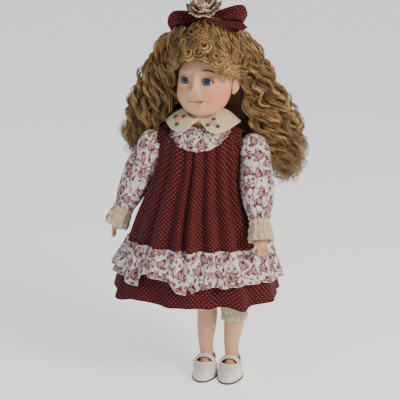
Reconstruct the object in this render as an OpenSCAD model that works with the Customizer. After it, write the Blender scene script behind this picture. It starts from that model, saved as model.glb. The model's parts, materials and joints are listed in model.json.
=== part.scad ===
// Dressed porcelain doll on a stuffed cotton body, 16 inches from sole to crown.
// Bisque head, shoulder plate, forearms and shins; wig, blouse, pinafore, skirt and shoes.
// The doll stands on the plane z = 0 and faces -Y; its left hand is on +X.

/* [Doll] */
// Height of the hip hinge above the floor
hip_z = 188; // [184:1:192]
// Height of the shoulder hinge above the floor
shoulder_z = 270; // [268:1:272]
// Height of the centre of the neck's ball seat
neck_z = 298; // [297:1:299]
// Half of the distance between the shoulder hinges
shoulder_x = 57; // [56:1:59]
// Half of the distance between the hips
hip_x = 19; // [19:0.5:21]

/* [Head] */
// Turn of the head towards the doll's right
head_turn = 14; // [0:1:18]
// Lean of the head towards the doll's left
head_lean = 4.5; // [0:0.5:6]
// Backward tilt of the head
head_tilt = 4; // [0:0.5:6]
// Thickness of the bisque shell
bisque = 4; // [3:0.5:5]
// How far the face sits down over the neck
head_drop = 10; // [8:0.5:11]
// Radius of the glass eyes
eye_r = 7.5; // [6:0.5:8]

/* [Arms] */
// Outward lean of the right arm
lean_right = 25; // [24:0.5:28]
// Outward lean of the left arm
lean_left = 9; // [8:0.5:14]
// Forward swing of the left arm as it is posed
swing_left = 25; // [24:1:30]
// Length of an arm from the hinge to the end of the lace cuff
sleeve_len = 106; // [102:1:108]

/* [Legs] */
// Centre of the right shoe from the middle of the body
foot_right_x = 0; // [-1:0.5:2]
// Centre of the left shoe from the middle of the body
foot_left_x = 29.5; // [29:0.5:33]
// Radius of the calf
calf_r = 11; // [10:0.5:11.5]

/* [Dress] */
// Half width of the underskirt at its hem
hem_w = 93; // [90:1:96]
// Half depth of the underskirt at its hem
hem_d = 74; // [70:1:80]
// Height of the underskirt's hem above the floor
hem_z = 101; // [98:1:104]
// Height of the seam between the pinafore and its ruffle
seam_z = 163; // [161:1:165]
// Number of folds round a skirt
folds = 12; // [8:1:14]

/* [Hidden] */

cloth = 1.2;          // thickness of a garment
wire_r = 1.2;         // radius of the hinge wires
running = 0.05;       // radial clearance of a hinge wire in its bore
gap = 0.4;            // space between neighbouring pieces
ball_r = 15;          // radius of the neck's ball
body_x = -3;          // the trunk and neck stand a little to the doll's right of the feet
seat_z = neck_z - ball_r - 2; // underside of the neck's seat in the shoulder plate
dress_x = -8;         // the full skirt hangs a little to the doll's right
sides = 24;           // corners of a limb's or garment's ring
skirt_sides = 48;     // corners of a skirt's ring
big = 400;            // size of a cutting block

right = -1;
left = 1;
shoulder = function(side) [body_x + side * shoulder_x, 0, shoulder_z];
hip = function(side) [side * hip_x, 0, hip_z];
ankle = function(side) [side == left ? foot_left_x : foot_right_x, 4, 27];
arm_lean = function(side) side == left ? lean_left : lean_right;
arm_swing = function(side) side == left ? swing_left : 0;

// ---------------------------------------------------------------- shape helpers

// A ring is [height, centre x, centre y, half width, half depth, fold height, fold count].
function ring_points(r, inset, n) =
    [for (i = [0:n-1]) let(a = 360 * i / n, fold = r[5] * cos(r[6] * a))
        [r[1] + (r[3] - inset + fold) * cos(a), r[2] + (r[4] - inset + fold) * sin(a), r[0]]];

function side_faces(n, rows, first, outward) =
    [for (k = [0:rows-2]) for (i = [0:n-1])
        let(j = (i + 1) % n, a = first + k*n + i, b = first + k*n + j, c = b + n, d = a + n)
        each outward ? [[a, d, c], [a, c, b]] : [[a, c, d], [a, b, c]]];

function plain(z, w, d, x = 0, y = 0) = [z, x, y, w, d, 0, 1];

// A closed solid through rings that are listed from the bottom up
module loft(rings, n = sides) {
    rows = len(rings);
    points = [for (r = rings) each ring_points(r, 0, n)];
    bottom = [[for (i = [0:n-1]) i]];
    top = [[for (i = [n-1:-1:0]) (rows - 1) * n + i]];
    polyhedron(points, concat(side_faces(n, rows, 0, true), bottom, top));
}

// A tube of cloth through rings that are listed from the bottom up, open at both ends
module loft_shell(rings, wall = cloth, n = sides) {
    rows = len(rings);
    inner = rows * n;
    points = concat([for (r = rings) each ring_points(r, 0, n)],
                    [for (r = rings) each ring_points(r, wall, n)]);
    last = (rows - 1) * n;
    bottom = [for (i = [0:n-1]) let(j = (i + 1) % n)
        each [[i, j, inner + j], [i, inner + j, inner + i]]];
    top = [for (i = [0:n-1]) let(j = (i + 1) % n)
        each [[last + i, inner + last + j, last + j], [last + i, inner + last + i, inner + last + j]]];
    polyhedron(points, concat(side_faces(n, rows, 0, true),
                              side_faces(n, rows, inner, false), bottom, top));
}

// Stands its children's +Z axis on the line from one point towards another
module along(from, to) {
    v = to - from;
    translate(from) rotate([0, acos(v[2] / norm(v)), atan2(v[1], v[0])]) children();
}

module ball(p, r) translate(p) sphere(r, $fn = 20);

// The head's own frame: its origin is the centre of the neck's ball
module on_head() translate([body_x, 0, neck_z])
    rotate([-head_tilt, head_lean, -head_turn]) children();
module face_level() translate([0, 0, -head_drop]) children();

// An arm's own frame: its origin is the shoulder hinge and +Z runs down the arm
module on_arm(side) along(shoulder(side),
    shoulder(side) + [side * sin(arm_lean(side)), -sin(arm_swing(side)) * cos(arm_lean(side)),
                      -cos(arm_swing(side)) * cos(arm_lean(side))]) children();

// A leg's own frame: its origin is the ankle and +Z runs up to the hip
module on_leg(side) along(ankle(side), hip(side)) children();
leg_len = function(side) norm(hip(side) - ankle(side));

// ---------------------------------------------------------------- body

module torso_cloth() color("linen") difference() {
    union() {
        translate([body_x, 0, 0])
            loft([plain(207, 30, 20), plain(214, 35, 25.5), plain(228, 35, 25), plain(241, 37, 23.5),
                  plain(249, 36.5, 20.5), plain(262, 36.5, 19.5), plain(274, 31, 16)]);
        translate([-2.2, -6, hip_z - 4]) cube([4.4, 12, 24]);
    }
    for (z = [hip_z, shoulder_z])
        translate([-big, 0, z]) rotate([0, 90, 0]) cylinder(r = wire_r + running, h = 2*big, $fn = 32);
    translate([body_x, 0, seat_z - 12]) cylinder(r = 8, h = 20, $fn = 32);
}

module shoulder_plate() color("bisque") translate([body_x, 0, 0]) difference() {
    union() {
        loft([plain(248, 41, 24.5), plain(258, 42.5, 25), plain(270, 41.6, 23.4),
              plain(281, 36.5, 20), plain(289, 27, 18), plain(seat_z + 12, 20.5, 18)], 32);
        translate([0, 0, seat_z]) cylinder(r = 17.5, h = 12, $fn = 48);
    }
    loft([plain(247, 37.6, 21.4), plain(258, 39, 21.6), plain(270, 38, 20),
          plain(277, 33, 17), plain(seat_z, 24, 14.5)], 32);
    translate([0, 0, neck_z]) sphere(ball_r + gap, $fn = 48);
    translate([0, 0, 240]) cylinder(r = 3, h = 60, $fn = 32);
    translate([-big, 0, shoulder_z]) rotate([0, 90, 0]) cylinder(r = 2.5, h = 2*big, $fn = 32);
    for (x = [-28, 28]) translate([x, -big, 253]) rotate([-90, 0, 0])
        cylinder(r = 1.2, h = 2*big, $fn = 24);
}

module hinge_wire(x, z, half) color("silver") translate([x - half, 0, z]) rotate([0, 90, 0])
    cylinder(r = wire_r, h = 2*half, $fn = 32);
module shoulder_wire() hinge_wire(body_x, shoulder_z, shoulder_x + 1);
module hip_wire() hinge_wire(0, hip_z, hip_x + 3);

spring_r = 5;         // coil radius of the neck's spring
spring_wire = 0.5;    // radius of its wire
spring_turns = 3;
spring_pitch = 1.3;
spring_z = seat_z - 0.1 - spring_wire - spring_turns * spring_pitch;
washer_z = spring_z - spring_wire - 1.1;
nut_z = washer_z - 2.6;
module neck_spring() {
    step = 12;      // rings in a turn
    around = 6;     // corners of the wire
    rows = spring_turns * step + 1;
    points = [for (k = [0:rows-1]) let(t = k / step) for (i = [0:around-1])
        let(a = 360 * i / around, out = spring_r + spring_wire * cos(a))
        [out * cos(360*t), out * sin(360*t), spring_pitch * t + spring_wire * sin(a)]];
    ends = [[for (i = [0:around-1]) i], [for (i = [around-1:-1:0]) (rows-1)*around + i]];
    color("silver") translate([body_x, 0, spring_z]) mirror([1, 0, 0])
        polyhedron(points, concat(side_faces(around, rows, 0, true), ends));
}

module neck_washer() color("silver") translate([body_x, 0, washer_z]) difference() {
    cylinder(r = 7, h = 1, $fn = 48);
    translate([0, 0, -1]) cylinder(r = 2.2, h = 3, $fn = 32);
}

// ---------------------------------------------------------------- dress

module blouse() color("whitesmoke") translate([body_x, 0, 0]) difference() {
    loft_shell([plain(217, 38, 28.5), plain(242, 41.5, 28.5), plain(258, 45, 27.6),
                plain(270, 44.6, 26), plain(281, 39.4, 22.6), plain(289, 30, 20.6),
                plain(294, 24, 20)]);
    translate([-big, 0, shoulder_z]) rotate([0, 90, 0]) cylinder(r = 8, h = 2*big, $fn = 32);
}

// Half of the flat collar, which leaves a notch at the throat
module collar_half(side) color("cornsilk") difference() {
    translate([body_x, 0, 0])
        loft_shell([plain(288, 42, 36), plain(293.5, 35, 30.5), plain(299, 27, 26),
                    plain(303, 20, 20)], 1.4, 32);
    translate([side == left ? body_x + 0.3 - big : body_x - 0.3, -big/2, 0]) cube([big, big, big]);
    for (y = [-1, 1]) translate([body_x, y * 42, 276]) linear_extrude(40)
        polygon([[-12, 8*y], [12, 8*y], [0, -16*y]]);
    for (s = [left, right]) translate(shoulder(s)) sphere(17, $fn = 24);
}
module collar_left() collar_half(left);
module collar_right() collar_half(right);

// One embroidered rose with its leaves, standing on the collar
module rose() {
    cylinder(r = 2.6, h = 1.6, $fn = 16);
    for (a = [30, 150, 270]) rotate(a) translate([4.4, 0, 0]) cylinder(r = 1.5, h = 1, $fn = 16);
}
module collar_roses() color("pink") for (side = [left, right])
    translate([body_x + side * 20, -26.5, 297.4]) rotate([36, side * 26, 0]) rose();

module pinafore() color("darkred") difference() {
    loft_shell([[seam_z, dress_x, 0, 80, 61, 2.5, folds], [187, dress_x, 0, 70.5, 54, 2.2, folds],
                [212, 0.9*dress_x, 0, 59, 46, 1.8, folds], [237, 0.7*dress_x, 0, 51, 38.5, 1.2, folds],
                [258, body_x, 0, 48.6, 31.5, 0.4, folds], plain(270, 47.6, 29.4, body_x),
                plain(281, 44, 26.8, body_x), plain(288, 36, 24.4, body_x)], cloth, skirt_sides);
    translate([body_x, -big/2, 298]) rotate([-90, 0, 0]) scale([1.4, 1, 1])
        cylinder(r = 30, h = big, $fn = 40);
    for (side = [left, right]) on_arm(side) hull() {
        sphere(19, $fn = 24);
        translate([0, 0, 50]) sphere(18, $fn = 24);
    }
}

module pinafore_ruffle() color("whitesmoke")
    loft_shell([[124, dress_x, 0, 93.5, 75, 3, 2*folds], [142, dress_x, 0, 88, 69.5, 2.4, 2*folds],
                [seam_z - 0.3, dress_x, 0, 81.5, 62.5, 1.6, 2*folds]], cloth, 96);

module underskirt() color("darkred")
    loft_shell([[hem_z, dress_x, 0, hem_w, hem_d, 3, folds],
                [112, dress_x, 0, hem_w - 5, hem_d - 5, 2.6, folds],
                [124, dress_x, 0, 83, 65, 2.4, folds], [142, dress_x, 0, 77, 59, 2.2, folds],
                [seam_z, dress_x, 0, 71, 53, 2, folds], [190, 0.9*dress_x, 0, 57, 42, 1.4, folds],
                plain(216, 38, 28.5, body_x)], cloth, skirt_sides);

module back_snaps() color("silver") for (z = [228, 240, 252])
    translate([body_x, 28.8 - max(0, z - 242)*0.06, z]) rotate([-90, 0, 0]) cylinder(r = 3, h = 1.2, $fn = 24);

// ---------------------------------------------------------------- head

// The skull, face and jaw without the neck, each sphere grown by a margin
module skull(grow) hull() {
    ball([0, 6, 67.5], 33 + grow);
    ball([0, -3, 62], 31.5 + grow);
}
module face(grow) hull() {
    ball([0, -3, 58], 30.5 + grow);
    for (s = [left, right]) ball([s * 11, -10, 44], 17 + grow);
    ball([0, -21, 29], 8.5 + grow);
    ball([0, 6, 44], 18 + grow);
}
module ears(grow) for (s = [left, right]) hull() {
    ball([s * 31, 4, 54], 4 + grow);
    ball([s * 30, 4, 44], 3 + grow);
    ball([s * 34, 8, 54], 3 + grow);
}
eye_at = function(side) [side * 13.6, -24.5, 57];

module head_shell() color("bisque") on_head() difference() {
    union() {
        face_level() {
            skull(0);
            face(0);
            ears(0);
        }
        sphere(ball_r, $fn = 48);
        cylinder(r = 13.5, h = 26, $fn = 48);
    }
    face_level() {
        skull(-bisque);
        face(-bisque);
        for (s = [left, right]) translate(eye_at(s)) {
            rotate([90, 0, 0]) cylinder(r = 4.8, h = 30, $fn = 32);
            sphere(eye_r + gap, $fn = 32);
        }
        translate([0, 8, 88]) rotate([-20, 0, 0]) cylinder(r = 60, h = 60, $fn = 48);
    }
    translate([0, 0, 12]) cylinder(r = 9.5, h = 30, $fn = 48);
    translate([0, 0, -20]) cylinder(r = 4.2, h = 40, $fn = 32);
}

module eye(side) color("steelblue") on_head() face_level() translate(eye_at(side)) sphere(eye_r, $fn = 32);
module eye_left() eye(left);
module eye_right() eye(right);

// A ring of plaster that holds each eye against the inside of its socket
module eye_plaster() color("white") on_head() face_level() intersection() {
    union() {
        skull(-bisque - gap);
        face(-bisque - gap);
    }
    for (s = [left, right]) translate(eye_at(s)) rotate([-90, 0, 0]) difference() {
        translate([0, 0, 1]) cylinder(r = eye_r + 2.2, h = 4, $fn = 32);
        cylinder(r = eye_r + 0.05, h = 9, $fn = 32);
    }
}

module crown_pate() color("ghostwhite") on_head() face_level() intersection() {
    skull(-0.2);
    translate([0, 8, 88.3]) rotate([-20, 0, 0]) cylinder(r = 60, h = 60, $fn = 48);
    cube([90, 100, 240], center = true);
}

module neck_button() color("burlywood") translate([body_x, 0, neck_z + 13.2]) difference() {
    cylinder(r1 = 8.4, r2 = 5.5, h = 6, $fn = 48);
    translate([0, 0, -1]) cylinder(r = 2.1, h = 9, $fn = 32);
}

// The bolt hangs from the button by its head; its nut is the second solid
module neck_bolt() color("silver") translate([body_x, 0, 0]) {
    translate([0, 0, neck_z + 19.3]) cylinder(r = 4.5, h = 2, $fn = 32);
    translate([0, 0, nut_z - 0.4]) cylinder(r = 2, h = neck_z + 19.8 - nut_z, $fn = 32);
    translate([0, 0, nut_z]) difference() {
        cylinder(r = 4.5, h = 2.5, $fn = 6);
        translate([0, 0, -1]) cylinder(r = 2.06, h = 5, $fn = 32);
    }
}

// What lies in front of the hairline: from the forehead down to below the ears
module hairline_cut() {
    translate([0, -34, 82]) rotate([32, 0, 0]) translate([-80, -160, -200]) cube([160, 160, 400]);
    translate([-60, -60, -30]) cube([120, 130, 64]);
}
module wig_cap() color("tan") on_head() face_level() difference() {
    skull(1.6);
    skull(gap);
    face(gap);
    ears(gap);
    hairline_cut();
}
topknot = [3, 0, 94]; // centre of the gathered hair under the bow, in the head's own frame
topknot_r = 19;
module hair_crown() color("goldenrod") on_head() difference() {
    union() {
        face_level() skull(9);
        translate(topknot) sphere(topknot_r, $fn = 24);
    }
    face_level() {
        skull(2);
        face(2);
        ears(1);
        translate([0, -5, 3]) hairline_cut();
    }
}

// A row of curls across the forehead
module hair_bangs() color("goldenrod") on_head() face_level() difference() {
    for (k = [-2:1]) hull() for (j = [k, k + 1])
        ball([12.5 * j, -37.5 + 2.6 * j * j, 83 - 1.8 * j * j], 8);
    skull(2);
    face(1);
    skull(9.4);
}

// Everything of the head that a lock of long hair has to stay clear of
module head_zone() on_head() {
    face_level() {
        skull(9.6);
        face(2);
        for (s = [left, right]) ball([s * 34, 6, 50], 7);
    }
    translate(topknot) sphere(topknot_r + 0.6, $fn = 24);
}

// Centres and radii of the balls that a lock of long hair wraps round, from the top down
lock = function(side) side == left ?
    [[[32, 16, 372], 19], [[54, 22, 336], 18], [[83, 31, 292], 17], [[89, 35, 262], 15],
     [[70, 41, 243], 13]] :
    [[[-32, 16, 370], 19], [[-58, 22, 336], 18], [[-77, 30, 294], 15], [[-84, 33, 268], 13],
     [[-66, 39, 260], 12]];
module lock_body(side, grow = 0) hull() for (b = lock(side)) ball(b[0], b[1] + grow);

module hair_fall(side) color("goldenrod") difference() {
    lock_body(side);
    head_zone();
}
module hair_fall_left() hair_fall(left);
module hair_fall_right() hair_fall(right);
module hair_fall_back() color("goldenrod") difference() {
    hull() for (x = [-30, 36]) {
        ball([x, 42, 350], 11);
        ball([x, 56, 300], 11);
        ball([x, 57, 252], 10);
    }
    head_zone();
    lock_body(left, gap);
    lock_body(right, gap);
}

bow_at = [9, 0, 415];
module bow_frame() translate(bow_at) children();
module bow_knot() color("darkred") bow_frame() difference() {
    translate([0, 0, -3.4]) cylinder(r = 5.5, h = 9, $fn = 24);
    translate([0, 0, -5]) cylinder(r = 4, h = 20, $fn = 24);
}
module bow_loop(side) color("darkred") bow_frame() difference() {
    hull() {
        ball([side * 9, 0, 1], 5);
        for (y = [-5, 6]) ball([side * 34, y, side * 3 - 2], 9);
        ball([side * 42, 0, side * 3 - 1], 6);
    }
    hull() {
        ball([side * 14, 0, 1], 3);
        for (y = [-6, 7]) ball([side * 33, y, side * 3 - 2], 7);
    }
    translate([0, 0, -30]) cylinder(r = 5.8, h = 60, $fn = 24);
    translate([-big/2, -big - 9, -big/2]) cube([big, big, big]);
    on_head() {
        face_level() skull(9.4);
        translate(topknot) sphere(topknot_r + gap, $fn = 24);
    }
}
module bow_loop_left() bow_loop(left);
module bow_loop_right() bow_loop(right);
module bow_tails() color("darkred") bow_frame() for (a = [0, 1])
    hull() {
        translate([12 + 6*a, -10 - 4*a, -7]) cube([8, 1.2, 4]);
        translate([34 + 12*a, -13 - 5*a, -12 + 2*a]) cube([8, 1.2, 8]);
    }
module bow_rosette() color("whitesmoke") bow_frame() for (k = [0:1])
    translate([0, 0, 6.2 + 8*k]) rotate([0, 0, 30*k]) difference() {
        cylinder(r1 = 9, r2 = 20 - 5*k, h = 7.6, $fn = 24);
        translate([0, 0, 1.4]) cylinder(r1 = 8, r2 = 19 - 5*k, h = 7.6, $fn = 24);
    }

// ---------------------------------------------------------------- arms

wrist = 81;           // where the sleeve is gathered, down the arm
forearm_at = 54;      // where the porcelain starts
armhole = 47;         // distance of the armhole's plane from the middle of the body
module armhole_cut(side) translate([body_x + side * (armhole - big/2), 0, shoulder_z])
    cube([big, big, big], center = true);

module upper_arm(side) color("linen") difference() {
    on_arm(side) difference() {
        union() {
            sphere(11, $fn = 32);
            cylinder(r1 = 11, r2 = 9.4, h = forearm_at - 2, $fn = 32);
            translate([0, 0, forearm_at - 2.01]) cylinder(r = 9.4, h = 10, $fn = 32);
        }
        translate([0, 0, forearm_at - 1]) cylinder(r = 8.2, h = 20, $fn = 32);
        translate([0, 0, 5]) cylinder(r = 1.05, h = 80, $fn = 24);
    }
    armhole_cut(side);
    translate([body_x + side * (shoulder_x + 1.5 - big/2), 0, shoulder_z]) rotate([0, 90, 0])
        cylinder(r = wire_r + running, h = big, center = true, $fn = 32);
}

module forearm(side) color("bisque") on_arm(side) {
    difference() {
        union() {
            translate([0, 0, forearm_at]) cylinder(r = 8, h = 12, $fn = 32);
            translate([0, 0, forearm_at + 12]) cylinder(r1 = 8, r2 = 5.6, h = 36, $fn = 32);
            translate([0, 0, forearm_at + 48]) scale([1, 1, 1.2]) sphere(5.6, $fn = 24);
        }
        translate([0, 0, forearm_at - 1]) cylinder(r = 5.5, h = 13, $fn = 32);
        translate([0, 0, forearm_at + 11.9]) cylinder(r1 = 5.5, r2 = 3, h = 28, $fn = 32);
    }
    hull() {
        ball([0, 0, 103], 5.4);
        ball([0, 4.5, 112], 3.4);
        ball([0, -4.5, 112], 3.4);
    }
    for (k = [0:3]) hull() {
        ball([0, -5 + 3.3*k, 112], 2.1);
        ball([1.5, -4.6 + 3*k, 121 - abs(k - 1.6)], 1.8);
    }
}

module arm_wire(side) color("silver") on_arm(side) translate([0, 0, 5.5])
    cylinder(r = 1, h = forearm_at + 10, $fn = 24);

module arm_tie(side) color("white") on_arm(side) translate([0, 0, forearm_at + 3])
    rotate_extrude($fn = 40) translate([10.2, 0]) circle(r = 0.7, $fn = 16);

// Rings of a sleeve listed down the arm: a dome over the shoulder, a full elbow, a gathered wrist
sleeve_rings = [plain(-15.9, 2.2, 2.2), plain(-13.5, 8.5, 8.5), plain(-8, 13.8, 13.8),
    plain(0, 16, 16), plain(20, 16.4, 16.4), plain(42, 16, 16), plain(60, 15, 15),
    plain(73, 12.4, 12.4), plain(wrist, 10.8, 10.8)];
module sleeve(side) color("whitesmoke") difference() {
    on_arm(side) loft_shell(sleeve_rings);
    armhole_cut(side);
}
module cuff(side) color("cornsilk") on_arm(side)
    loft_shell([plain(wrist + 0.4, 11, 11), plain(wrist + 8, 12, 12), plain(sleeve_len, 14, 14)], 0.9);

// ---------------------------------------------------------------- legs

module thigh(side) color("linen") difference() {
    union() {
        translate(hip(side)) sphere(13.8, $fn = 32);
        on_leg(side) translate([0, 0, 90]) difference() {
            cylinder(r1 = 12, r2 = 13.6, h = leg_len(side) - 90, $fn = 32);
            translate([0, 0, -1]) cylinder(r = 10.3, h = 11.5, $fn = 32);
        }
    }
    translate(hip(side)) rotate([0, 90, 0])
        translate([0, 0, side == left ? -big + 4 : -4]) cylinder(r = wire_r + running, h = big, $fn = 32);
}

module shin(side) color("bisque") {
    on_leg(side) difference() {
        rotate_extrude($fn = 48) polygon([[0, -2], [8.2, -2], [8, 8], [9.4, 26], [calf_r, 48],
            [calf_r, 62], [10, 78], [10, 100], [7.5, 100], [7.5, 78], [calf_r - 3, 60], [calf_r - 3, 48],
            [6, 26], [0, 20]]);
    }
    translate(ankle(side) - [0, 4, 27]) hull() {
        ball([0, 12, 10.4], 7.5);
        ball([0, -11, 8.6], 5.6);
        ball([0, 4, 24], 7.6);
    }
}

module leg_tie(side) color("white") on_leg(side) translate([0, 0, 94])
    rotate_extrude($fn = 40) translate([13.1, 0]) circle(r = 0.7, $fn = 16);

pantaloon_low = function(side) side == left ? 43 : 56; // height of the lace above the ankle
module pantaloon(side) color("cornsilk") on_leg(side) {
    low = pantaloon_low(side);
    top = leg_len(side) - 6;
    loft_shell([plain(low, 15.1, 16.5), plain(low + 9, 14, 15), plain(78, 14.4, 16),
                plain(110, 15.5, 17), plain(top, 15.4, 16.4)], 1);
}

module on_foot(side) translate([ankle(side)[0], 0, 0]) children();

module shoe_outline(grow) hull() {
    for (s = [left, right]) translate([s * 5, -21]) circle(r = 8 + grow, $fn = 32);
    translate([0, 14]) circle(r = 10 + grow, $fn = 32);
}
module shoe_sole(side) color("darkslategray") on_foot(side) linear_extrude(2.4) shoe_outline(0.1);

module shoe_upper(side) color("white") on_foot(side)
    loft_shell([plain(2.6, 12.9, 26.6, 0, -3), plain(8, 13, 26.8, 0, -3), plain(13, 12.2, 24.4, 0, -1.6),
                plain(17.4, 11.4, 18.4, 0, 4.6)], 1.2, 32);

module shoe_strap(side) color("white") on_foot(side) translate([0, -5, 12.4]) rotate([90, 0, 0])
    linear_extrude(6.5) difference() {
        scale([1, 1.34]) circle(r = 13.3, $fn = 48);
        scale([1, 1.34]) circle(r = 12.3, $fn = 48);
        translate([-30, -60]) square([60, 62.6]);
    }

module shoe_button(side) color("silver") on_foot(side)
    translate([side * 13.4, -8.2, 17]) rotate([0, side * 90, 0]) cylinder(r = 1.8, h = 1.2, $fn = 24);

module upper_arm_left() upper_arm(left);
module upper_arm_right() upper_arm(right);
module forearm_left() forearm(left);
module forearm_right() forearm(right);
module arm_wire_left() arm_wire(left);
module arm_wire_right() arm_wire(right);
module arm_tie_left() arm_tie(left);
module arm_tie_right() arm_tie(right);
module sleeve_left() sleeve(left);
module sleeve_right() sleeve(right);
module cuff_left() cuff(left);
module cuff_right() cuff(right);
module thigh_left() thigh(left);
module thigh_right() thigh(right);
module shin_left() shin(left);
module shin_right() shin(right);
module leg_tie_left() leg_tie(left);
module leg_tie_right() leg_tie(right);
module pantaloon_left() pantaloon(left);
module pantaloon_right() pantaloon(right);
module shoe_upper_left() shoe_upper(left);
module shoe_upper_right() shoe_upper(right);
module shoe_sole_left() shoe_sole(left);
module shoe_sole_right() shoe_sole(right);
module shoe_strap_left() shoe_strap(left);
module shoe_strap_right() shoe_strap(right);
module shoe_button_left() shoe_button(left);
module shoe_button_right() shoe_button(right);

torso_cloth();
shoulder_plate();
shoulder_wire();
hip_wire();
neck_spring();
neck_washer();
blouse();
collar_left();
collar_right();
collar_roses();
pinafore();
pinafore_ruffle();
underskirt();
back_snaps();
head_shell();
eye_left();
eye_right();
eye_plaster();
crown_pate();
neck_button();
neck_bolt();
wig_cap();
hair_crown();
hair_bangs();
hair_fall_left();
hair_fall_right();
hair_fall_back();
bow_loop_left();
bow_loop_right();
bow_tails();
bow_knot();
bow_rosette();
upper_arm_left();
upper_arm_right();
forearm_left();
forearm_right();
arm_wire_left();
arm_wire_right();
arm_tie_left();
arm_tie_right();
sleeve_left();
sleeve_right();
cuff_left();
cuff_right();
thigh_left();
thigh_right();
shin_left();
shin_right();
leg_tie_left();
leg_tie_right();
pantaloon_left();
pantaloon_right();
shoe_upper_left();
shoe_upper_right();
shoe_sole_left();
shoe_sole_right();
shoe_strap_left();
shoe_strap_right();
shoe_button_left();
shoe_button_right();
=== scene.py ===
"""The dressed porcelain doll: bisque head and limbs, curled wig, printed cotton and lace."""
import json
import math

import bpy
import numpy as np
from mathutils import Matrix, Vector


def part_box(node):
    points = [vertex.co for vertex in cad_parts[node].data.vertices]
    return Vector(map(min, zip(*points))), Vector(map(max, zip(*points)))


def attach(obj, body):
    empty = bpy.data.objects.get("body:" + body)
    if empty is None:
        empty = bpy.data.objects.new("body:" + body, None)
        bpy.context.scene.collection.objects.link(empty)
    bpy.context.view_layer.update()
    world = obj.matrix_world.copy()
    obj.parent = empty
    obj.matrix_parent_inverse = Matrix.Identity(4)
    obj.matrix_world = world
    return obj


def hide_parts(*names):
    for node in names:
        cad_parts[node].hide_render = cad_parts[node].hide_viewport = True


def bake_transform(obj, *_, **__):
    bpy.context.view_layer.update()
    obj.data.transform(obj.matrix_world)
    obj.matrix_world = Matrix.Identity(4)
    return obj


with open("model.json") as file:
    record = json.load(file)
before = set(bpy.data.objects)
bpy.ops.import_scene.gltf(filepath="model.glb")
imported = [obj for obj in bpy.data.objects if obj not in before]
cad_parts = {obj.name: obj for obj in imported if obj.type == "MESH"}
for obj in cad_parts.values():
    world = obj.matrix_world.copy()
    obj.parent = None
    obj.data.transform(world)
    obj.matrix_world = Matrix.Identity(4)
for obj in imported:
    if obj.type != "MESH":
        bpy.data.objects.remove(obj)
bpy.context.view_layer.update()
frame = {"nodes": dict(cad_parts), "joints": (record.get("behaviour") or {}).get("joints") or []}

MM = 0.001               # shapes are worked out in millimetres
CM = 10.0                # and cloth patterns in centimetres
TAU = 2 * math.pi
rng = np.random.default_rng(16)

# ------------------------------------------------------------------ places taken from the frame

pivot = {j["name"]: np.array(j["pos_m"]) / MM for j in frame["joints"]}


def cad_size(node):
    """Lowest and highest corner of a CAD node, in millimetres."""
    low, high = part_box(node)
    return np.array(low) / MM, np.array(high) / MM


def turned(x=0.0, y=0.0, z=0.0):
    """Rotation about X, then Y, then Z, in degrees."""
    turn = Matrix.Rotation(math.radians(z), 3, "Z") @ Matrix.Rotation(math.radians(y), 3, "Y")
    return np.array(turn @ Matrix.Rotation(math.radians(x), 3, "X"))


class Place:
    """A local frame: an origin and three axes. put() moves points from it into the doll's frame."""

    def __init__(self, origin, axes):
        self.origin, self.axes = np.array(origin, float), np.array(axes, float)

    def put(self, points):
        return np.asarray(points, float) @ self.axes.T + self.origin


def along(start, end):
    """A place whose +Z axis runs from start towards end."""
    v = np.array(end, float) - np.array(start, float)
    v = v / np.linalg.norm(v)
    return Place(start, turned(y=math.degrees(math.acos(v[2])), z=math.degrees(math.atan2(v[1], v[0]))))


HEAD_TURN, HEAD_LEAN, HEAD_TILT = 14, 4.5, 4      # as in the CAD model, in degrees
HEAD_DROP = 10                                    # how far the face sits down over the neck
head = Place(pivot["neck_swivel"], turned(-HEAD_TILT, HEAD_LEAN, -HEAD_TURN))
FACE_LEAN = 0.5
face = Place(head.put((3.8, 0, -HEAD_DROP - 1.5)), turned(-HEAD_TILT, FACE_LEAN, -HEAD_TURN))
body_x = pivot["neck_swivel"][0]                  # the middle of the trunk
dress_x = sum(cad_size("underskirt")[i][0] for i in (0, 1)) / 2
seam_z, ruffle_z, hem_z = (cad_size(n)[0][2] for n in ("pinafore", "pinafore_ruffle", "underskirt"))
SIDES = {"left": 1, "right": -1}
ARM_POSE = {"left": (9, 25), "right": (25, 0)}    # lean outwards and swing forwards


def arm_place(side):
    lean, swing = (math.radians(a) for a in ARM_POSE[side])
    way = [SIDES[side] * math.sin(lean), -math.sin(swing) * math.cos(lean), -math.cos(swing) * math.cos(lean)]
    start = pivot["shoulder_" + side]
    return along(start, start + np.array(way))


def ankle(side):
    low, high = cad_size("shoe_sole_" + side)
    return np.array([(low[0] + high[0]) / 2, 4, 27])


def leg_place(side):
    return along(ankle(side), pivot["hip_" + side])


# ------------------------------------------------------------------ shader maths

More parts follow.
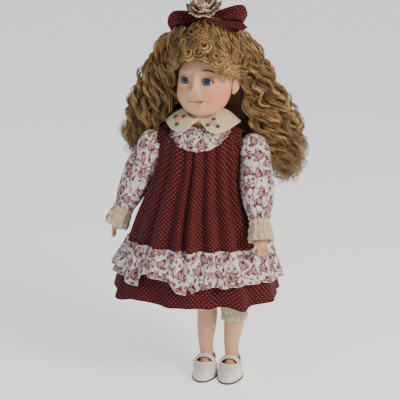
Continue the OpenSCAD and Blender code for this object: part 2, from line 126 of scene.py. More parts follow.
class Socket:
    """A shader value. An operator on it adds the Math node that works it out."""

    def __init__(self, paint, link):
        self.paint, self.link = paint, link

    def maths(self, operation, *others):
        return self.paint.value("ShaderNodeMath", {"operation": operation}, dict(enumerate((self, *others))))

    def __add__(self, other):
        return self.maths("ADD", other)

    def __sub__(self, other):
        return self.maths("SUBTRACT", other)

    def __rsub__(self, other):
        return self.paint.value("ShaderNodeMath", {"operation": "SUBTRACT"}, {0: other, 1: self})

    def __mul__(self, other):
        return self.maths("MULTIPLY", other)

    def __truediv__(self, other):
        return self.maths("DIVIDE", other)

    def __rtruediv__(self, other):
        return self.paint.value("ShaderNodeMath", {"operation": "DIVIDE"}, {0: other, 1: self})

    def __pow__(self, other):
        return self.maths("POWER", other)

    def __rpow__(self, other):
        return self.paint.value("ShaderNodeMath", {"operation": "POWER"}, {0: other, 1: self})

    __radd__, __rmul__ = __add__, __mul__

    def high(self, other):
        return self.maths("MAXIMUM", other)

    def low(self, other):
        return self.maths("MINIMUM", other)

    def size(self):
        return self.maths("ABSOLUTE")

    def sine(self):
        return self.maths("SINE")

    def root(self):
        return self.maths("SQRT")

    def within_cell(self):
        return self.maths("FRACT")

    def rise(self, start, end):
        """0 up to start, 1 from end, smooth between them. It falls where end is the lower."""
        flip = end < start
        ends = (end, start) if flip else (start, end)
        node = {"From Min": ends[0], "From Max": ends[1], "Value": self}
        made = self.paint.value("ShaderNodeMapRange", {"interpolation_type": "SMOOTHSTEP"}, node)
        return 1 - made if flip else made

    def hill(self, centre, width):
        """1 at centre, falling as a bell over width."""
        away = (self - centre) / width
        return (away * away * -1.0).maths("EXPONENT")


class Paint:
    """A material and its nodes."""

    def __init__(self, name, **fixed):
        self.material = bpy.data.materials.new(name)
        self.material.use_nodes = True
        self.tree = self.material.node_tree
        self.shader = self.tree.nodes["Principled BSDF"]
        for key, value in fixed.items():
            self.shader.inputs[key.replace("_", " ")].default_value = value

    def add(self, kind, settings=None, sockets=None):
        """Any node: its settings are set first, then its sockets' values or links."""
        node = self.tree.nodes.new(kind)
        for key, value in (settings or {}).items():
            if key == "stops":
                self.set_stops(node.color_ramp, value)
            else:
                setattr(node, key, value)
        for key, value in (sockets or {}).items():
            self.join(value, node.inputs[key])
        return node

    def set_stops(self, ramp, stops):
        while len(ramp.elements) > 1:
            ramp.elements.remove(ramp.elements[-1])
        for i, (at, colour) in enumerate(stops):
            stop = ramp.elements[0] if i == 0 else ramp.elements.new(at)
            stop.position, stop.color = at, (*colour, 1)

    def join(self, value, socket):
        if isinstance(value, Socket):
            self.tree.links.new(value.link, socket)
        else:
            socket.default_value = (*value, 1) if socket.type == "RGBA" else value

    def value(self, kind, settings=None, sockets=None, output=0):
        return Socket(self, self.add(kind, settings, sockets).outputs[output])

    def spot(self):
        """The point on the piece, in metres."""
        return self.value("ShaderNodeTexCoord", output="Object")

    def cloth(self):
        """The point on the cloth's own pattern, in centimetres."""
        return self.value("ShaderNodeUVMap", {"uv_map": "cloth"})

    def attribute(self, name):
        return self.value("ShaderNodeAttribute", {"attribute_name": name}, output="Fac")

    def split(self, vector):
        node = self.add("ShaderNodeSeparateXYZ", None, {0: vector})
        return [Socket(self, o) for o in node.outputs]

    def vector(self, x=0.0, y=0.0, z=0.0):
        return self.value("ShaderNodeCombineXYZ", None, {0: x, 1: y, 2: z})

    def noise(self, at, scale, detail=2.0, rough=0.5, twist=0.0):
        sockets = {"Vector": at, "Scale": scale, "Detail": detail, "Roughness": rough, "Distortion": twist}
        return self.value("ShaderNodeTexNoise", None, sockets)

    def mix(self, factor, first, second):
        node = self.add("ShaderNodeMix", {"data_type": "RGBA"}, {0: factor, 6: first, 7: second})
        return Socket(self, node.outputs[2])

    def tint(self, colour, amount):
        """The colour made lighter or darker by an amount around 1."""
        node = self.add("ShaderNodeVectorMath", {"operation": "SCALE"}, {0: colour, "Scale": amount})
        return Socket(self, node.outputs[0])

    def finish(self, colour, roughness=None, height=None, depth=0.0002, strength=1.0):
        self.join(colour, self.shader.inputs["Base Color"])
        if roughness is not None:
            self.join(roughness, self.shader.inputs["Roughness"])
        if height is not None:
            sockets = {"Height": height, "Distance": depth, "Strength": strength}
            self.join(self.value("ShaderNodeBump", None, sockets), self.shader.inputs["Normal"])
        return self.material


# ------------------------------------------------------------------ finishes

SKIN = (0.58, 0.335, 0.205)
BLUSH = (0.66, 0.20, 0.09)
LIP = (0.27, 0.045, 0.026)
BROWN = (0.16, 0.075, 0.035)


def skin_base(paint):
    """Fired bisque: an even flesh tint with faint mottling and a fine tooth."""
    spot = paint.spot()
    mottle = paint.noise(spot, 55, 3)
    colour = paint.tint(SKIN, 0.93 + mottle * 0.14)
    roughness = 0.42 + paint.noise(spot, 160, 2) * 0.16
    height = paint.noise(spot, 2600, 1) * 0.6 + paint.noise(spot, 420, 2) * 0.4
    return colour, roughness, height


def bisque():
    paint = Paint("bisque", Subsurface_Weight=0.08, Subsurface_Scale=0.004, Specular_IOR_Level=0.4)
    colour, roughness, height = skin_base(paint)
    return paint.finish(colour, roughness, height, 0.00002)


EYE = np.array([13.6, 57.0])         # centre of the left eye's opening, in the head's frame
LID_WIDE, LID_UP, LID_DOWN = 6.3, 4.3, 3.5
MOUTH = 35.3                         # height of the closed lips' line


def painted_face():
    """The face as it is painted before firing. Its UV map is the front view, in centimetres."""
    paint = Paint("painted_bisque", Subsurface_Weight=0.1, Subsurface_Scale=0.004, Specular_IOR_Level=0.4)
    colour, roughness, height = skin_base(paint)
    across, up, _ = paint.split(paint.value("ShaderNodeUVMap", {"uv_map": "front"}))
    x, z = across * CM, up * CM
    front = paint.attribute("front")
    side = x.size()
    grain = paint.noise(paint.vector(x * 1.0, z * 1.0, 0.0), 0.9, 3)

    cheek = side.hill(20, 12) * z.hill(40, 13) * (0.75 + grain * 0.4)
    colour = paint.mix((cheek * 0.36 * front).low(1.0), colour, BLUSH)
    warmth = (side.hill(0, 9) * z.hill(22, 7) + side.hill(0, 5) * z.hill(48, 5)) * front
    colour = paint.mix(warmth * 0.16, colour, BLUSH)

    shadow = side.hill(EYE[0], 8.5) * z.hill(EYE[1] + 6, 3.6) + side.hill(6.6, 2.6) * z.hill(60, 4.5) * 0.6
    colour = paint.mix((shadow * front * 0.5).low(0.8), colour, (0.33, 0.15, 0.085))

    # eyelid lines and lashes follow the almond's own contour
    ax = (side - EYE[0]) / LID_WIDE
    above = (z - EYE[1]).rise(-0.2, 0.4)
    az = (z - EYE[1]) / (above * (LID_UP - LID_DOWN) + LID_DOWN)
    almond = (ax * ax + az * az).root()
    upper = almond.rise(1.18, 1.1) * above
    lower = almond.rise(1.09, 1.03) * (1 - above) * 0.55
    colour = paint.mix(((upper + lower) * front).low(0.93), colour, (0.035, 0.018, 0.012))
    strokes = (paint.value("ShaderNodeMath", {"operation": "ARCTAN2"}, {0: az, 1: ax}) * 34).sine()
    lashes = strokes.rise(0.1, 0.7) * (almond.rise(1.5, 1.15) * above + almond.rise(1.36, 1.05)
                                       * (1 - above) * 0.7)
    colour = paint.mix(lashes * front * 0.62, colour, BROWN)

    # brows: an arch of short strokes
    arch = z - (70.2 - (side - 12.0) * (side - 12.0) * 0.036)
    hairs = paint.noise(paint.vector(x * 3.0, (z + side * 0.8) * 0.6, 0.0), 1.6, 2)
    brow = (arch.size() + hairs * 0.4).rise(1.5, 0.6) * side.rise(6.2, 8.4) * side.rise(21.5, 17.5)
    colour = paint.mix(brow * front * 0.9, colour, (0.13, 0.06, 0.028))

    # lips
    line = MOUTH + x * x * 0.008
    bow = 3.0 - x * x * 0.020 - x.hill(0, 1.6) * 0.6
    upper_lip = (z - line).rise(-0.5, 0.2) * (z - line - bow).rise(0.35, -0.35)
    full = 4.8 - x * x * 0.042
    lower_lip = (line - z).rise(-0.4, 0.2) * (line - z - full).rise(0.5, -0.5)
    lips = (upper_lip * side.rise(11.6, 10.0) + lower_lip * side.rise(9.8, 8.0)).low(1.0)
    colour = paint.mix(lips * front * 0.95, colour, LIP)
    seam = (z - line).hill(0, 0.5) * side.rise(11.6, 10.2)
    colour = paint.mix(seam * front * 0.8, colour, (0.20, 0.045, 0.03))
    # nostrils: painted nostril dots, made darker as painted shade inside the nostrils
    nostril = side.hill(2.5, 1.15) * z.hill(45.2, 1.0)
    colour = paint.mix((nostril * 1.3).low(1.0) * front * 0.8, colour, (0.22, 0.07, 0.04))
    roughness = paint.value("ShaderNodeMapRange", None, {"Value": lips, "To Min": 0.5, "To Max": 0.32})
    return paint.finish(colour, roughness, height, 0.00002)


def glass_eye():
    """Blown glass: a blue iris with pale spokes and a dark rim, under a clear coat."""
    paint = Paint("eye_glass", Coat_Weight=0.7, Specular_IOR_Level=0.3, Coat_Roughness=0.02, Roughness=0.12)
    reach = paint.attribute("reach")
    turn = paint.attribute("turn")
    spokes = paint.noise(paint.vector(turn * 9.0, reach * 2.0, 0.0), 2.2, 4)
    iris = paint.value("ShaderNodeValToRGB", {"stops": [
        (0.0, (0.022, 0.048, 0.11)), (0.35, (0.014, 0.036, 0.095)), (0.68, (0.006, 0.017, 0.055)),
        (0.88, (0.001, 0.002, 0.006))]}, {0: reach.rise(0.16, 0.60) * 0.78 + spokes * 0.3})
    white = paint.tint((0.55, 0.53, 0.51), 0.94 + paint.noise(paint.spot(), 300) * 0.12)
    colour = paint.mix(reach.rise(0.565, 0.60), iris, white)
    colour = paint.mix(reach.rise(0.25, 0.21), colour, (0.003, 0.003, 0.004))
    return paint.finish(colour)


def weave(paint, threads=22.0):
    """Height of a plain weave, and a slow unevenness, on the cloth's own pattern."""
    u, v, _ = paint.split(paint.cloth())
    over = ((u * threads * TAU).sine() + (v * threads * TAU).sine()) * 0.25 + 0.5
    slub = paint.noise(paint.cloth(), 6.0, 3)
    return over * 0.55 + slub * 0.45, slub


DOT_STEP = 0.50          # centimetres between pin dots along a row


def pin_dots(paint, step, radius):
    """A mask of dots on a grid and on the centres of its squares."""
    u, v, _ = paint.split(paint.cloth())
    mask = None
    for shift in (0.0, 0.5):
        du = (u / step + shift).within_cell() - 0.5
        dv = (v / step + shift).within_cell() - 0.5
        dots = (du * du + dv * dv).root().rise(radius * 1.25, radius * 0.8)
        mask = dots if mask is None else mask.high(dots)
    return mask


def dotted_cotton():
    """Burgundy cotton with white pin dots."""
    paint = Paint("dotted_burgundy", Roughness=0.9, Sheen_Weight=0.04, Sheen_Roughness=0.5,
                  Specular_IOR_Level=0.2)
    height, slub = weave(paint)
    fade = paint.noise(paint.spot(), 30, 3)
    cloth = paint.mix(fade, (0.040, 0.0025, 0.005), (0.085, 0.006, 0.009))
    cloth = paint.tint(cloth, 0.8 + slub * 0.4)
    dots = pin_dots(paint, DOT_STEP, 0.072)
    colour = paint.mix(dots * 0.85, cloth, (0.46, 0.30, 0.24))
    return paint.finish(colour, None, height, 0.00012)


def rose_cotton(name="rose_print", ground=(0.66, 0.62, 0.60)):
    """White cotton printed with outlined roses, small buds and trailing stems."""
    paint = Paint(name, Roughness=0.88, Sheen_Weight=0.05, Specular_IOR_Level=0.2)
    height, slub = weave(paint)
    cloth = paint.cloth()
    bent = paint.value("ShaderNodeVectorMath", {"operation": "MULTIPLY_ADD"}, {
        0: paint.value("ShaderNodeTexNoise", None, {"Vector": cloth, "Scale": 0.9}, "Color"),
        1: (0.9, 0.9, 0.0), 2: cloth})
    colour = paint.tint(ground, 0.92 + slub * 0.14)
    wine, pink = (0.095, 0.012, 0.020), (0.36, 0.17, 0.19)

    # stems are the thin borders of large cells
    stems = paint.value("ShaderNodeTexVoronoi", {"feature": "DISTANCE_TO_EDGE"},
                        {"Vector": bent, "Scale": 0.60, "Randomness": 0.9})
    colour = paint.mix(stems.rise(0.036, 0.018) * 0.8, colour, wine)

    # rose size is half its width in centimetres
    for scale, shift, size, petals, rings in ((0.58, 0.0, 0.46, 5.0, 3.0), (1.05, 3.7, 0.17, 3.0, 1.0)):
        moved = paint.value("ShaderNodeVectorMath", {"operation": "ADD"},
                            {0: cloth, 1: (shift, shift * 1.7, 0.0)})
        cells = paint.add("ShaderNodeTexVoronoi", {"feature": "F1"},
                          {"Vector": moved, "Scale": scale, "Randomness": 0.7})
        centre, chance = Socket(paint, cells.outputs["Position"]), Socket(paint, cells.outputs["Color"])
        away = paint.value("ShaderNodeVectorMath", {"operation": "SUBTRACT"}, {0: moved, 1: centre})
        dx, dy, _ = paint.split(away)
        luck = paint.split(chance)[0]
        turn = paint.value("ShaderNodeMath", {"operation": "ARCTAN2"}, {0: dy, 1: dx}) + luck * 6.0
        reach = (dx * dx + dy * dy).root() / size
        wavy = reach + (turn * petals).sine() * 0.13 + (turn * 2.0 + luck * 9.0).sine() * 0.10
        colour = paint.mix(wavy.rise(1.02, 0.92) * 0.75, colour, pink if rings > 1 else wine)
        edge = (wavy - 0.95).size().rise(0.16, 0.08)
        inner = ((wavy + (turn * 3.0).sine() * 0.05) * rings * 3.2).sine().rise(0.55,
                                                                                0.95) * wavy.rise(0.9, 0.8)
        colour = paint.mix((edge + inner * 0.7).low(1.0) * 0.92, colour, wine)
        if rings > 1:
            leaf = reach + (turn * 3.0 + luck * 5.0).sine() * 0.42
            leaves = leaf.rise(1.22, 1.14) * wavy.rise(1.0, 1.1)
            colour = paint.mix(leaves * 0.8, colour, (0.30, 0.17, 0.18))
            colour = paint.mix((leaf - 1.2).size().rise(0.09, 0.04) * wavy.rise(1.0, 1.1) * 0.85, colour,
                               wine)
    return paint.finish(colour, None, height, 0.00010)


def calico():
    """Unbleached cotton over stuffing."""
    paint = Paint("calico", Roughness=0.9, Sheen_Weight=0.2)
    height, slub = weave(paint, 16)
    colour = paint.mix(slub, (0.48, 0.38, 0.27), (0.66, 0.56, 0.43))
    return paint.finish(colour, None, height, 0.0002)


def cream_satin():
    paint = Paint("cream_satin", Roughness=0.45, Sheen_Weight=0.3, Specular_IOR_Level=0.45)
    height, slub = weave(paint, 30)
    cloudy = paint.noise(paint.spot(), 90, 3)
    colour = paint.mix(cloudy, (0.52, 0.43, 0.27), (0.70, 0.61, 0.42))
    return paint.finish(colour, 0.40 + slub * 0.2, height, 0.00006)


def lace():
    """Cream lace: netting between worked motifs, with real openings."""
    paint = Paint("cream_lace", Roughness=0.85, Sheen_Weight=0.2)
    u, v, _ = paint.split(paint.cloth())
    nets = [(((u + v * s) * 5.5).within_cell() - 0.5).size() for s in (0.7, -0.7)]
    net = nets[0].rise(0.20, 0.28).high(nets[1].rise(0.20, 0.28))
    du, dv = (u / 0.7).within_cell() - 0.5, (v / 0.7).within_cell() - 0.5
    ring = (du * du + dv * dv).root()
    worked = (ring - 0.30).size().rise(0.15, 0.10).high(ring.rise(0.12, 0.09))
    solid = net.high(worked)
    colour = paint.mix(paint.noise(paint.cloth(), 8, 3), (0.46, 0.38, 0.24), (0.66, 0.58, 0.41))
    paint.join(solid, paint.shader.inputs["Alpha"])
    return paint.finish(colour, None, worked * 0.6 + paint.noise(paint.cloth(), 30) * 0.4, 0.0003)


def thread(name, colour, gloss=0.6):
    paint = Paint(name, Roughness=gloss, Sheen_Weight=0.3)
    twist = paint.noise(paint.spot(), 1500, 2)
    return paint.finish(paint.tint(colour, 0.75 + twist * 0.5), None, twist, 0.0001)


def hair_finish(name="golden_hair", root=(0.10, 0.048, 0.014), tip=(0.46, 0.275, 0.098)):
    """Curled fibres: each lock has its own shade, with fine streaks along it."""
    paint = Paint(name, Roughness=0.42, Specular_IOR_Level=0.5, Sheen_Weight=0.1)
    run, lock = paint.attribute("run"), paint.attribute("lock")
    around = paint.attribute("around")
    streak = paint.noise(paint.vector(around * 5.0, run * 0.35, lock * 40.0), 2.2, 4)
    slow = paint.noise(paint.vector(run * 0.5, lock * 30.0, 0.0), 1.0, 2)
    shade = (streak * 0.7 + lock * 0.62 + slow * 0.45 - 0.42).rise(0.0, 1.0)
    colour = paint.value("ShaderNodeValToRGB", {"stops": [
        (0.0, root), (0.45, tuple((a + b) / 2 for a, b in zip(root, tip))), (0.75, tip),
        (1.0, tuple(min(1, 1.5 * c + 0.05) for c in tip))]}, {0: shade})
    return paint.finish(colour, 0.36 + streak * 0.25, streak, 0.0005)


def vinyl():
    paint = Paint("white_vinyl", Coat_Weight=0.35, Coat_Roughness=0.2)
    spot = paint.spot()
    scuff = paint.noise(spot, 240, 4)
    colour = paint.mix(scuff.rise(0.58, 0.72) * 0.35, (0.78, 0.76, 0.73), (0.55, 0.51, 0.46))
    grain = paint.value("ShaderNodeTexVoronoi", None, {"Vector": spot, "Scale": 1500})
    return paint.finish(colour, 0.30 + scuff * 0.2, grain, 0.00004)


def plain(name, colour, rough=0.6, scale=200, depth=0.0001, **fixed):
    """A moulded, turned or drawn part: slight unevenness in colour, gloss and surface."""
    paint = Paint(name, **fixed)
    uneven = paint.noise(paint.spot(), scale, 4)
    colour = paint.tint(colour, 0.85 + uneven * 0.3)
    return paint.finish(colour, rough * 0.85 + uneven * rough * 0.3, uneven, depth)


def turned_wood():
    paint = Paint("turned_wood", Specular_IOR_Level=0.3)
    x, y, z = paint.split(paint.spot())
    rings = paint.noise(paint.vector(x * 900.0, y * 900.0, z * 90.0), 1.0, 3)
    colour = paint.mix(rings, (0.36, 0.21, 0.10), (0.58, 0.40, 0.22))
    return paint.finish(colour, 0.5 + rings * 0.2, rings, 0.0001)


SKIN_FINISH, FACE_FINISH = bisque(), painted_face()
# the third finish here is painted shade: a darker copy of the hair for the fillers inside the falls, standing
# for the hair in shade deep in them
EYE_FINISH, HAIR, HAIR_PAINTED_SHADE = glass_eye(), hair_finish(), hair_finish("hair_ground", (0.03, 0.014, 0.005),
                                                                      (0.20, 0.11, 0.04))
HAIR_ROOTS = hair_finish("hair_roots", (0.13, 0.066, 0.021), (0.30, 0.175, 0.06))
DOTTED, ROSES, CALICO = dotted_cotton(), rose_cotton(), calico()
ROSES_CREAM = rose_cotton("rose_print_cream", (0.66, 0.56, 0.42))
SATIN, LACE = cream_satin(), lace()
PINK, GREEN = thread("rose_thread", (0.62, 0.27, 0.27)), thread("leaf_thread", (0.035, 0.09, 0.03))
GOLD, WHITE_THREAD = thread("edge_thread", (0.42, 0.30, 0.14)), thread("white_thread", (0.74, 0.70, 0.62))
LASH = thread("lash_fibre", (0.05, 0.025, 0.015), 0.5)
VINYL = vinyl()
SOLE = plain("sole_rubber", (0.075, 0.055, 0.045), 0.6)
INSOLE = plain("insole_card", (0.50, 0.38, 0.25), 0.8)
STEEL = plain("steel_wire", (0.45, 0.45, 0.46), 0.35, 900, 0.00003, Metallic=1.0)
PLASTER = plain("plaster", (0.70, 0.67, 0.61), 0.9, 500)
PATE = plain("pate_board", (0.62, 0.56, 0.44), 0.85, 300)
PEARL = plain("pearl_button", (0.78, 0.76, 0.72), 0.2, 400, 0.00002, Coat_Weight=0.6)
WOOD = turned_wood()

# ------------------------------------------------------------------ mesh helpers


def new_object(name, mesh, *materials):
    piece = bpy.data.objects.new(name, mesh)
    bpy.context.scene.collection.objects.link(piece)
    for material in materials:
        mesh.materials.append(material)
    return piece


def settle(piece):
    """Turns a piece's modifiers into its own mesh."""
    graph = bpy.context.evaluated_depsgraph_get()
    mesh = bpy.data.meshes.new_from_object(piece.evaluated_get(graph))
    old = piece.data
    piece.modifiers.clear()
    piece.data = mesh
    mesh.name = piece.name
    if isinstance(old, bpy.types.Mesh):
        bpy.data.meshes.remove(old)
    return piece


def modified(piece, kind, **settings):
    modifier = piece.modifiers.new(kind.lower(), kind)
    for key, value in settings.items():
        setattr(modifier, key, value)
    return piece


def grid(name, points, material, closed=False, uv=None, uv_name="cloth", caps=False, flip=False,
         **attributes):
    """A quad surface through points[row][column], in millimetres. A closed grid joins its last
    column to its first. uv has one more column than a closed grid's points."""
    points = np.asarray(points, float)
    rows, cols = points.shape[:2]
    wide = cols if closed else cols - 1
    i, j = np.meshgrid(np.arange(rows - 1), np.arange(wide), indexing="ij")
    i, j = i.ravel(), j.ravel()
    k = (j + 1) % cols
    quads = np.stack([i * cols + j, i * cols + k, (i + 1) * cols + k, (i + 1) * cols + j], axis=1)
    corner_cols = np.stack([j, j + 1, j + 1, j], axis=1)
    corner_rows = np.stack([i, i, i + 1, i + 1], axis=1)
    if flip:
        quads, corner_cols, corner_rows = quads[:, ::-1], corner_cols[:, ::-1], corner_rows[:, ::-1]
    faces = quads.tolist()
    if caps:
        first, last = list(range(cols)), list(range((rows - 1) * cols, rows * cols))
        faces += [last, first[::-1]] if not flip else [last[::-1], first]
    mesh = bpy.data.meshes.new(name)
    mesh.from_pydata((points.reshape(-1, 3) * MM).tolist(), [], faces)
    if uv is not None:
        layer = mesh.uv_layers.new(name=uv_name)
        uv = np.asarray(uv, float)
        flat = np.zeros((len(mesh.loops), 2))
        flat[:corner_rows.size] = uv[corner_rows.ravel(), corner_cols.ravel()]
        layer.data.foreach_set("uv", flat.ravel())
    for key, values in attributes.items():
        mesh.attributes.new(key, "FLOAT", "POINT").data.foreach_set("value",
                                                                    np.asarray(values, float).ravel())
    mesh.shade_smooth()
    return new_object(name, mesh, material)


def cloth_uv(points, closed=False, flared=False):
    """Lengths along the rows and columns of a grid, in centimetres, for a cloth pattern.
    Rows share the widths of the widest row, but each row of a flared cut has its own."""
    points = np.asarray(points, float)
    loop = np.concatenate([points, points[:, :1]], axis=1) if closed else points
    across = np.linalg.norm(np.diff(loop, axis=1), axis=2)
    down = np.linalg.norm(np.diff(points, axis=0), axis=2).mean(axis=1)
    if not flared:
        across = np.broadcast_to(across[across.sum(axis=1).argmax()], across.shape)
    u = np.concatenate([np.zeros((len(across), 1)), np.cumsum(across, axis=1)], axis=1)
    v = np.concatenate([[0], np.cumsum(down)])[:, None] + 0 * u
    return np.stack([u - u[:, -1:] / 2, v], axis=2) / CM


def bell(x, centre, width):
    return np.exp(-(((x - centre) / width) ** 2))


def ease(x, start, end):
    t = np.clip((x - start) / (end - start), 0, 1)
    return t * t * (3 - 2 * t)


def wander(angle, orders, seed):
    """A smooth closed wobble round a circle, about -1 to 1."""
    draw = np.random.default_rng(seed)
    total = sum(np.cos(k * angle + draw.uniform(0, TAU)) * draw.uniform(0.5, 1) for k in orders)
    return total / math.sqrt(len(orders))


def tube(name, path, radius, material, sides=10, closed=False, squeeze=(1, 1)):
    """A round bar along a path, in millimetres, with its ends rounded off."""
    path = np.asarray(path, float)
    radius = np.broadcast_to(radius, len(path)).astype(float)
    way = np.gradient(path, axis=0)
    if closed:
        way = np.roll(path, -1, axis=0) - np.roll(path, 1, axis=0)
    way /= np.linalg.norm(way, axis=1)[:, None]
    across = np.cross(way, [0.31, 0.17, 0.94])
    across /= np.linalg.norm(across, axis=1)[:, None]
    up = np.cross(across, way)
    a = np.linspace(0, TAU, sides, endpoint=False)
    ring = (np.cos(a)[None, :, None] * across[:, None] * squeeze[0]
            + np.sin(a)[None, :, None] * up[:, None] * squeeze[1])
    points = path[:, None] + ring * radius[:, None, None]
    if closed:
        points = np.concatenate([points, points[:1]])
    else:
        tips = [path[:1, None] - way[:1, None] * radius[0] * 0.5 + ring[:1] * radius[0] * 0.35,
                path[-1:, None] + way[-1:, None] * radius[-1] * 0.5 + ring[-1:] * radius[-1] * 0.35]
        points = np.concatenate([tips[0], points, tips[1]])
    return grid(name, points, material, closed=True, caps=not closed, uv=cloth_uv(points, True))


def joined(name, pieces):
    """One piece from several, keeping their materials."""
    bpy.ops.object.select_all(action="DESELECT")
    for p in pieces:
        p.select_set(True)
    bpy.context.view_layer.objects.active = pieces[0]
    bpy.ops.object.join()
    pieces[0].name = pieces[0].data.name = name
    return pieces[0]


def thicken(piece, thickness, offset=-1.0):
    return settle(modified(piece, "SOLIDIFY", thickness=thickness * MM, offset=offset, use_even_offset=False))


def dress(piece, body, slot, *nodes):
    """Hangs a piece on the body it rides on and hides the CAD nodes it stands for. The slot, which finish it
    takes, is not used.
    """
    if body:
        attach(piece, body)
    if nodes:
        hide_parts(*nodes)
    return piece


# ------------------------------------------------------------------ camera, light and floor

VIEW_TURN, VIEW_RISE = math.radians(12), math.radians(14)
LOOK_AT = Vector((-0.007, 0, 0.207))
CAMERA_AWAY, LENS = 1.5, 120.0


def camera_and_lights():
    back = Vector((math.sin(VIEW_TURN) * math.cos(VIEW_RISE), -math.cos(VIEW_TURN) * math.cos(VIEW_RISE),
                   math.sin(VIEW_RISE)))
    data = bpy.data.cameras.new("camera")
    data.lens, data.sensor_width, data.clip_start = LENS, 36, 0.05
    camera = bpy.data.objects.new("camera", data)
    camera.location = LOOK_AT + back * CAMERA_AWAY
    camera.rotation_euler = back.to_track_quat("Z", "Y").to_euler()
    bpy.context.scene.collection.objects.link(camera)
    bpy.context.scene.camera = camera
    lamps = (("key", (1.15, -0.75, 1.0), 0.40, 24.0, (1.0, 0.84, 0.66)),
             ("fill", (-1.1, -0.9, 0.7), 1.2, 1.5, (0.92, 0.95, 1.0)),
             ("back", (0.2, 1.2, 1.1), 0.9, 1.5, (1.0, 0.96, 0.90)))
    for name, place, size, power, colour in lamps:
        lamp = bpy.data.lights.new(name, "AREA")
        lamp.size, lamp.energy, lamp.color = size, power, colour
        light = bpy.data.objects.new(name, lamp)
        light.location = Vector(place)
        light.rotation_euler = (Vector(place) - Vector((0, 0, 0.22))).to_track_quat("Z", "Y").to_euler()
        bpy.context.scene.collection.objects.link(light)
    world = bpy.data.worlds.new("studio")
    world.use_nodes = True
    world.node_tree.nodes["Background"].inputs["Color"].default_value = (0.95, 0.96, 1.0, 1)
    world.node_tree.nodes["Background"].inputs["Strength"].default_value = 0.36
    bpy.context.scene.world = world


FLOOR_HALF = 12000


def studio_floor():
    """A pale floor, wide enough to fill the view from every side."""
    points = [[(x, y, 0) for x in (-FLOOR_HALF, FLOOR_HALF)] for y in (-FLOOR_HALF, FLOOR_HALF)]
    paint = Paint("studio_floor", Roughness=0.9, Emission_Color=(1, 1, 1, 1), Emission_Strength=0.8)
    pale = paint.noise(paint.spot(), 3, 2)
    grid("studio_floor", points, paint.finish(paint.tint((0.90, 0.90, 0.91), 0.97 + pale * 0.06)),
                  flip=True)


# ------------------------------------------------------------------ head

HEAD_CENTRE = np.array([0, -2, 54.0])
HEAD_FORMS = [((0, 6, 66), (34, 38, 35)), ((0, -6, 52), (31, 28, 33)), ((11.5, -11, 41), (18.6, 17.0, 17)),
              ((-11.5, -11, 41), (18.6, 17.0, 17)), ((0, -13.5, 30), (21.5, 15, 12.6)),
              ((-3.6, 0, 16), (14, 14.5, 20)), ((-3.8, 0, 10), (15, 15, 15))]


def exit_distance(way, centre, radii):
    """How far rays from the head's centre run before they leave an ellipsoid, or 0."""
    o, d = (HEAD_CENTRE - centre) / radii, way / np.array(radii)
    a, b, c = (d * d).sum(-1), (o * d).sum(-1), (o * o).sum() - 1
    under = b * b - a * c
    return np.where(under > 0, (-b + np.sqrt(np.maximum(under, 0))) / a, 0)


def face_relief(x, z):
    """How far the features stand out from the smooth head, forwards, in millimetres."""
    def form(height, x0, z0, wide, tall):
        return height * np.exp(-((x - x0) / wide) ** 2 - ((z - z0) / tall) ** 2)
    side = np.abs(x)
    out = form(5.6, 0, 48.0, 4.3, 4.4) + form(2.0, 0, 54.5, 4.0, 6.5) + form(1.2, 0, 61, 5, 5)
    out += 2.3 * np.exp(-((side - 4.1) / 2.3) ** 2 - ((z - 46.4) / 2.5) ** 2)
    out -= 1.3 * np.exp(-((side - 2.3) / 1.0) ** 2 - ((z - 44.6) / 0.9) ** 2)
    out += form(2.0, 0, MOUTH + 1.3, 12, 7.5) - form(0.6, 0, 40.9, 1.5, 2.4)
    line = MOUTH + x * x * 0.008
    lips = np.exp(-(side / 9.2) ** 4)
    out += lips * (1.3 * bell(z, line + 1.5, 1.35) + 1.9 * bell(z, line - 1.9, 1.7) - 1.5
                   * bell(z, line, 0.62))
    out -= 1.1 * np.exp(-((side - 11.6) / 2.2) ** 2 - ((z - MOUTH) / 2.2) ** 2)
    out += -form(1.1, 0, 28.6, 6, 1.9) + form(1.2, 0, 22.0, 7, 5)
    out -= 1.6 * np.exp(-((side - 13.0) / 10) ** 2 - ((z - 57.5) / 6.5) ** 2)
    out -= 1.2 * np.exp(-((side - 6.4) / 2.8) ** 2 - ((z - 58) / 4.5) ** 2)
    out += 1.0 * np.exp(-((side - 12.5) / 10) ** 2 - ((z - 67.5) / 3.4) ** 2)
    out += 1.3 * np.exp(-((side - 17) / 8) ** 2 - ((z - 42) / 9) ** 2)
    return out


EYE_DEEP = -23.4         # how far forward the middle of an eyeball lies
EYE_RADIUS, LID_RADIUS = 7.5, 8.35


def almond(x, z):
    """1 on the edge of an eye's opening."""
    ax = (np.abs(x) - EYE[0]) / LID_WIDE
    above = ease(z, EYE[1] - 0.2, EYE[1] + 0.4)
    return np.sqrt(ax ** 2 + ((z - EYE[1]) / (LID_DOWN + above * (LID_UP - LID_DOWN))) ** 2)


